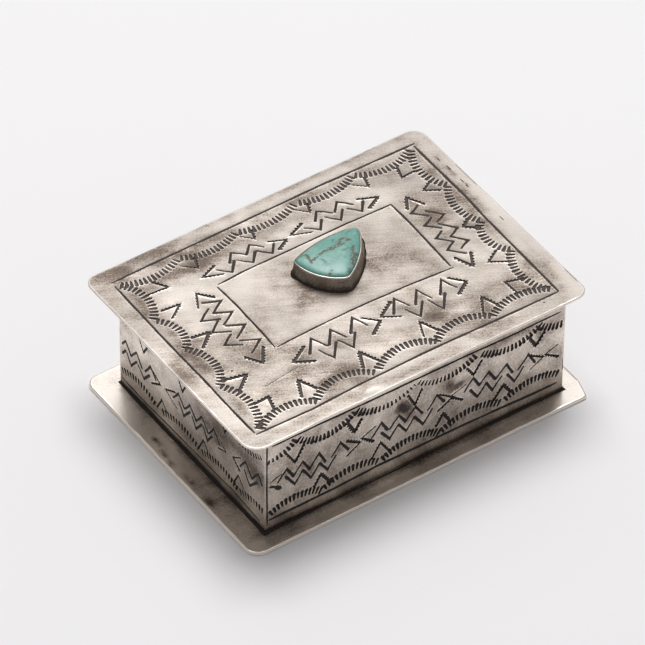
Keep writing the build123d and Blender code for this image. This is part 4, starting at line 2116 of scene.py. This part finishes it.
@dataclass(frozen=True)
class Setting:
    """The bezel, its solder, the stone in it and the bed under the stone.

    The strip's rows have a share of its height and how much darker it is there, darkest at the foot. The
    lip's have how far below the rim they are, how far in, as a share of the gauge and as a length, and how
    worn, with a painted highlight along the rim. The matrix is a few lines by X and Y, each with its width.
    """

    solder_metal: bpy.types.Material
    strip: SilverFinish = SilverFinish("bezel_silver", 0.62, 0.34)
    turquoise: TurquoiseFinish = TurquoiseFinish("turquoise")
    card: CardFinish = CardFinish("bed_card")
    strip_gauge: float = 0.40
    flare: float = 0.85
    strip_waver: float = 0.05
    lip_waver: float = 0.04
    rim_waver: float = 0.02
    blotch: float = 0.12
    painted_glint: float = 0.3
    painted_glint_turn: float = -12
    rear_painted_shade: float = 0.5
    stone_sink: float = 0.6
    stone_grip: float = 0.02
    girdle: float = 0.05
    shoulder: float = 0.25
    shoulder_curve: float = 14
    crown_spare: float = 0.28
    crown_curve: float = 2.4
    crown_fullness: float = 0.75
    stone_waver: float = 0.03
    stone_waves: Pair = (5, 14)
    seed: int = 91
    stone_seed: int = 17
    knots: int = 46
    domes: int = 46
    dome_spacing: float = 1.8
    dome_reach: float = 0.985
    crease: float = 60
    solder_leg: float = 0.30
    strip_rows: Rows = (
        (0, 0.9), (0.06, 0.7), (0.16, 0.4), (0.32, 0.2), (0.5, 0.12), (0.7, 0.1), (0.84, 0.05),
    )
    lip_rows: Rows = (
        (0.40, 0, 0, 0.2), (0.20, 0, 0, 0.5), (0.07, 0, 0.06, 0.7), (0.01, 0, 0.15, 0.8),
        (0.0, 0.6, 0, 0.8), (0.06, 0.9, 0, 0.6), (0.20, 1, 0, 0.3), (0.7, 1, 0.05, 0.0),
    )
    blobs: Rows = (
        (-6.9, 8.6, 1.2, 0.9), (-4.9, 2.6, 0.7, 0.6), (-8.2, 5.2, 0.8, 0.5), (-2.4, -0.4, 0.6, 0.4),
    )
    matrix: tuple[tuple[tuple[Point, ...], float], ...] = (
        (((-3.0, 6.2), (-1.8, 6.7), (-0.6, 7.0), (0.5, 7.2), (2.2, 7.1)), 0.55),
        (((2.2, 7.1), (3.2, 7.2), (4.2, 7.1), (5.5, 7.0)), 0.95),
        (((4.9, 7.4), (5.5, 8.2), (6.2, 8.6), (7.2, 8.2), (7.6, 7.4)), 0.75),
        (((-3.6, 9.2), (-3.2, 8.6), (-3.5, 7.8), (-3.5, 6.8), (-3.6, 6.0)), 0.60),
        (((7.5, 5.6), (7.1, 4.7), (6.4, 4.1), (6.3, 3.3)), 0.60),
        (((6.3, 3.0), (5.6, 2.0), (4.9, 1.1), (4.3, 0.4)), 1.15),
        (((-2.3, 0.8), (-1.5, 1.0)), 0.60),
        (((2.0, -1.2), (2.6, -0.7)), 0.60),
    )

    def bezel(self) -> Piece:
        """Make the bezel: a flared strip, burnished over the stone at its rim.

        Returns:
            The bezel.
        """
        low, high = box_mm("bezel")
        foot, rim = outline_of("bezel", low[2]), outline_of("bezel", high[2])
        height = high[2] - low[2]
        turns = np.linspace(0, 2 * math.pi, len(rim.radii), endpoint=False)
        draw = np.random.default_rng(self.seed)
        knots = np.linspace(0, 2 * math.pi, self.knots, endpoint=False)
        uneven = np.interp(turns, knots, draw.uniform(-1, 1, self.knots), period=2 * math.pi)
        rings, stain_and_painted_light, wear_and_highlight = [], [], []
        for share, dark in self.strip_rows:
            ring = foot.towards(rim, share**self.flare)
            waver = uneven * self.strip_waver * math.sin(math.pi * share)
            rings.append(ring.at(low[2] + height * share, waver))
            stain_and_painted_light.append(dark)
            wear_and_highlight.append(0.0)
        lip = self.strip_gauge + uneven * self.lip_waver
        for drop, share, more, bright in self.lip_rows:
            rings.append(rim.at(high[2] - drop, -(lip * share + more) + uneven * self.rim_waver))
            stain_and_painted_light.append(0.05)
            wear_and_highlight.append(bright)
        points, faces = skin(rings)
        made = mesh_object("bezel_strip_burnished", points * MILLIMETRE, faces, self.crease)
        blotches = draw.uniform(-self.blotch, self.blotch, self.knots)
        patch = np.interp(turns, knots, blotches, period=2 * math.pi)
        # Painted glint: the side of the bezel that faces right is lightened.
        patch = patch - self.painted_glint * np.clip(np.cos(turns - math.radians(self.painted_glint_turn)), 0, 1) ** 2
        # Painted shade: the rear of the bezel is darkened, and its rim highlight taken away.
        behind = np.clip(np.sin(turns) * 1.6, 0, 1)
        store(made, "stain_and_painted_light", np.concatenate([patch + s + behind * self.rear_painted_shade for s in stain_and_painted_light]))
        store(made, "wear_and_highlight", np.concatenate([s * (1 - behind) for s in wear_and_highlight]))
        store(made, "oxide", np.zeros(len(points)))
        return dress(made, self.strip.material(), "lid", "bezel_strip", "bezel")

    def solder(self) -> Piece:
        """Solder round the bezel foot, with a lump at its left corner.

        Returns:
            The solder.
        """
        level = box_mm("bezel")[0][2]
        foot = outline_of("bezel", level)
        line = foot.at(level, -0.02)
        out = np.column_stack([mitres(line[:, :2]), np.zeros(len(line))])
        up = np.tile([0.0, 0.0, 1.0], (len(line), 1))
        run = SolderRun("bezel_solder_run", [line], [out], [up], self.solder_leg, True, 8, 0.6, self.blobs)
        return dress(run.build(), self.solder_metal, "lid", "solder", "bezel_solder")

    def stone(self) -> Piece:
        """Make the stone: a low dome with soft shoulders.

        Returns:
            The stone.
        """
        rim_level = box_mm("bezel")[1][2]
        top = box_mm("turquoise_stone")[1][2]
        rim = outline_of("bezel", rim_level)
        outline = Outline(rim.centre, rim.radii - self.strip_gauge + self.stone_grip)
        crown = top - rim_level
        shares = 1 - np.linspace(0, 1, self.domes) ** self.dome_spacing * self.dome_reach
        rings = [outline.at(rim_level - self.stone_sink), outline.at(rim_level - self.girdle)]
        for share in shares[1:]:
            shoulder = self.shoulder * (1 - share**self.shoulder_curve)
            dome = (crown - self.crown_spare) * (1 - share**self.crown_curve) ** self.crown_fullness
            ring = outline.at(rim_level, 0.0, share)
            uneven = ripple(ring[:, :2], self.stone_seed, *self.stone_waves)
            uneven = uneven * self.stone_waver * (1 - share**4)
            ring[:, 2] = np.minimum(ring[:, 2] + (shoulder + dome) + uneven, top)
            rings.append(ring)
        points, faces = skin(rings, True)
        made = mesh_object("turquoise_cabochon", points * MILLIMETRE, faces, self.crease)
        store(made, "vein", self.veins(points[:, :2]))
        size = len(outline.radii)
        # The rim attribute rises towards the stone's edge, where it paints shade on the shoulder.
        store(made, "rim", np.append(np.repeat([1.0, *shares], size) ** self.shoulder_curve, 0.0))
        return dress(made, self.turquoise.material(), "lid", "turquoise", "turquoise_stone")

    def veins(self, points: Array) -> Array:
        """How near each point is to the stone's matrix.

        Args:
            points: the points, by X and Y.

        Returns:
            About 1 on a vein, 0 away from it.
        """
        total = np.zeros(len(points))
        for places, width in self.matrix:
            line = np.array(places)
            for start, end in zip(line, line[1:]):
                along = end - start
                share = np.clip(((points - start) @ along) / (along @ along), 0, 1)
                gap = np.linalg.norm(points - start - share[:, None] * along, axis=1)
                total = np.maximum(total, np.exp(-((gap / width) ** 2)))
        return total

    def build(self) -> list[Piece]:
        """Make the setting, and cover the bed under the stone with card.

        Returns:
            The pieces, the bed last.
        """
        made = [self.bezel(), self.solder(), self.stone()]
        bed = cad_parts["stone_bed"]
        bed.data.materials.clear()
        bed.data.materials.append(self.card.material())
        return [*made, bed]


# Studio


@dataclass(frozen=True)
class SoftLight:
    """A rectangular soft light, with its place and sides in metres and its power in watts."""

    name: str
    at: Triple
    sides: Pair
    power: float

    def hang(self, aim: Triple) -> None:
        """Hang the light.

        Args:
            aim: where it faces, in metres.
        """
        data = bpy.data.lights.new(self.name, "AREA")
        data.shape = "RECTANGLE"
        data.size, data.size_y = self.sides
        data.energy = self.power
        made = bpy.data.objects.new(self.name, data)
        bpy.context.scene.collection.objects.link(made)
        made.location = self.at
        made.rotation_euler = (Vector(aim) - Vector(self.at)).to_track_quat("-Z", "Y").to_euler()


@dataclass(frozen=True)
class Studio:
    """The pale floor, the soft light and the camera, whose place and aim are in millimetres."""

    camera_at: Triple = (-648.739, -919.494, 1090.301)
    camera_aim: Triple = (-0.294, 6.231, 17.0)
    camera_roll: float = 0.545
    lens: float = 371.75
    film: float = 36
    clip: Pair = (0.01, 50)
    floor_size: float = 8.0
    lights_aim: Triple = (0, 0, 0.02)
    sky: Triple = (0.98, 0.985, 1.0)
    sky_strength: float = 0.30
    lights: tuple[SoftLight, ...] = (
        SoftLight("overhead_softbox", (0.22, 0.36, 1.45), (0.8, 0.8), 17),
        SoftLight("rear_softbox", (0.48, 1.22, 1.38), (1.2, 1.0), 1.55),
    )

    def camera(self) -> None:
        """Set up the camera where the photograph was taken from."""
        data = bpy.data.cameras.new("camera")
        data.sensor_width = self.film
        data.lens = self.lens
        data.clip_start, data.clip_end = self.clip
        made = bpy.data.objects.new("camera", data)
        bpy.context.scene.collection.objects.link(made)
        at, aim = Vector(self.camera_at) * MILLIMETRE, Vector(self.camera_aim) * MILLIMETRE
        turn = (aim - at).to_track_quat("-Z", "Y").to_matrix()
        roll = Matrix.Rotation(math.radians(self.camera_roll), 3, "Z")
        made.matrix_world = Matrix.Translation(at) @ (turn @ roll).to_4x4()
        bpy.context.scene.camera = made

    def floor(self) -> None:
        """Lay the floor."""
        half = self.floor_size / 2
        corners = np.array([(-half, -half, 0), (half, -half, 0), (half, half, 0), (-half, half, 0)])
        made = mesh_object("floor", corners, [(0, 1, 2, 3)], crease=7)
        made.data.materials.append(PaperFinish("floor_paper").material())

    def build(self) -> None:
        """Set up floor, lights and surroundings."""
        scene = bpy.context.scene
        scene.view_settings.view_transform = "Standard"
        world = bpy.data.worlds.new("studio")
        scene.world = world
        world.use_nodes = True
        back = world.node_tree.nodes["Background"]
        back.inputs["Color"].default_value = (*self.sky, 1)
        back.inputs["Strength"].default_value = self.sky_strength
        self.floor()
        for light in self.lights:
            light.hang(self.lights_aim)
        self.camera()


def main() -> None:
    """Build the studio and the box in order, and report each piece."""
    logging.basicConfig(level=logging.INFO, format="%(name)s: %(message)s")
    Studio().build()
    solder_metal = SolderFinish("dark_solder").material()
    for part in (Base(), Walls(), Lid(), Flange(), Setting(solder_metal), Solder(solder_metal)):
        for piece in part.build():
            log.info("%s: %d faces", piece.name, len(piece.data.polygons))


if __name__ == "__main__":
    main()
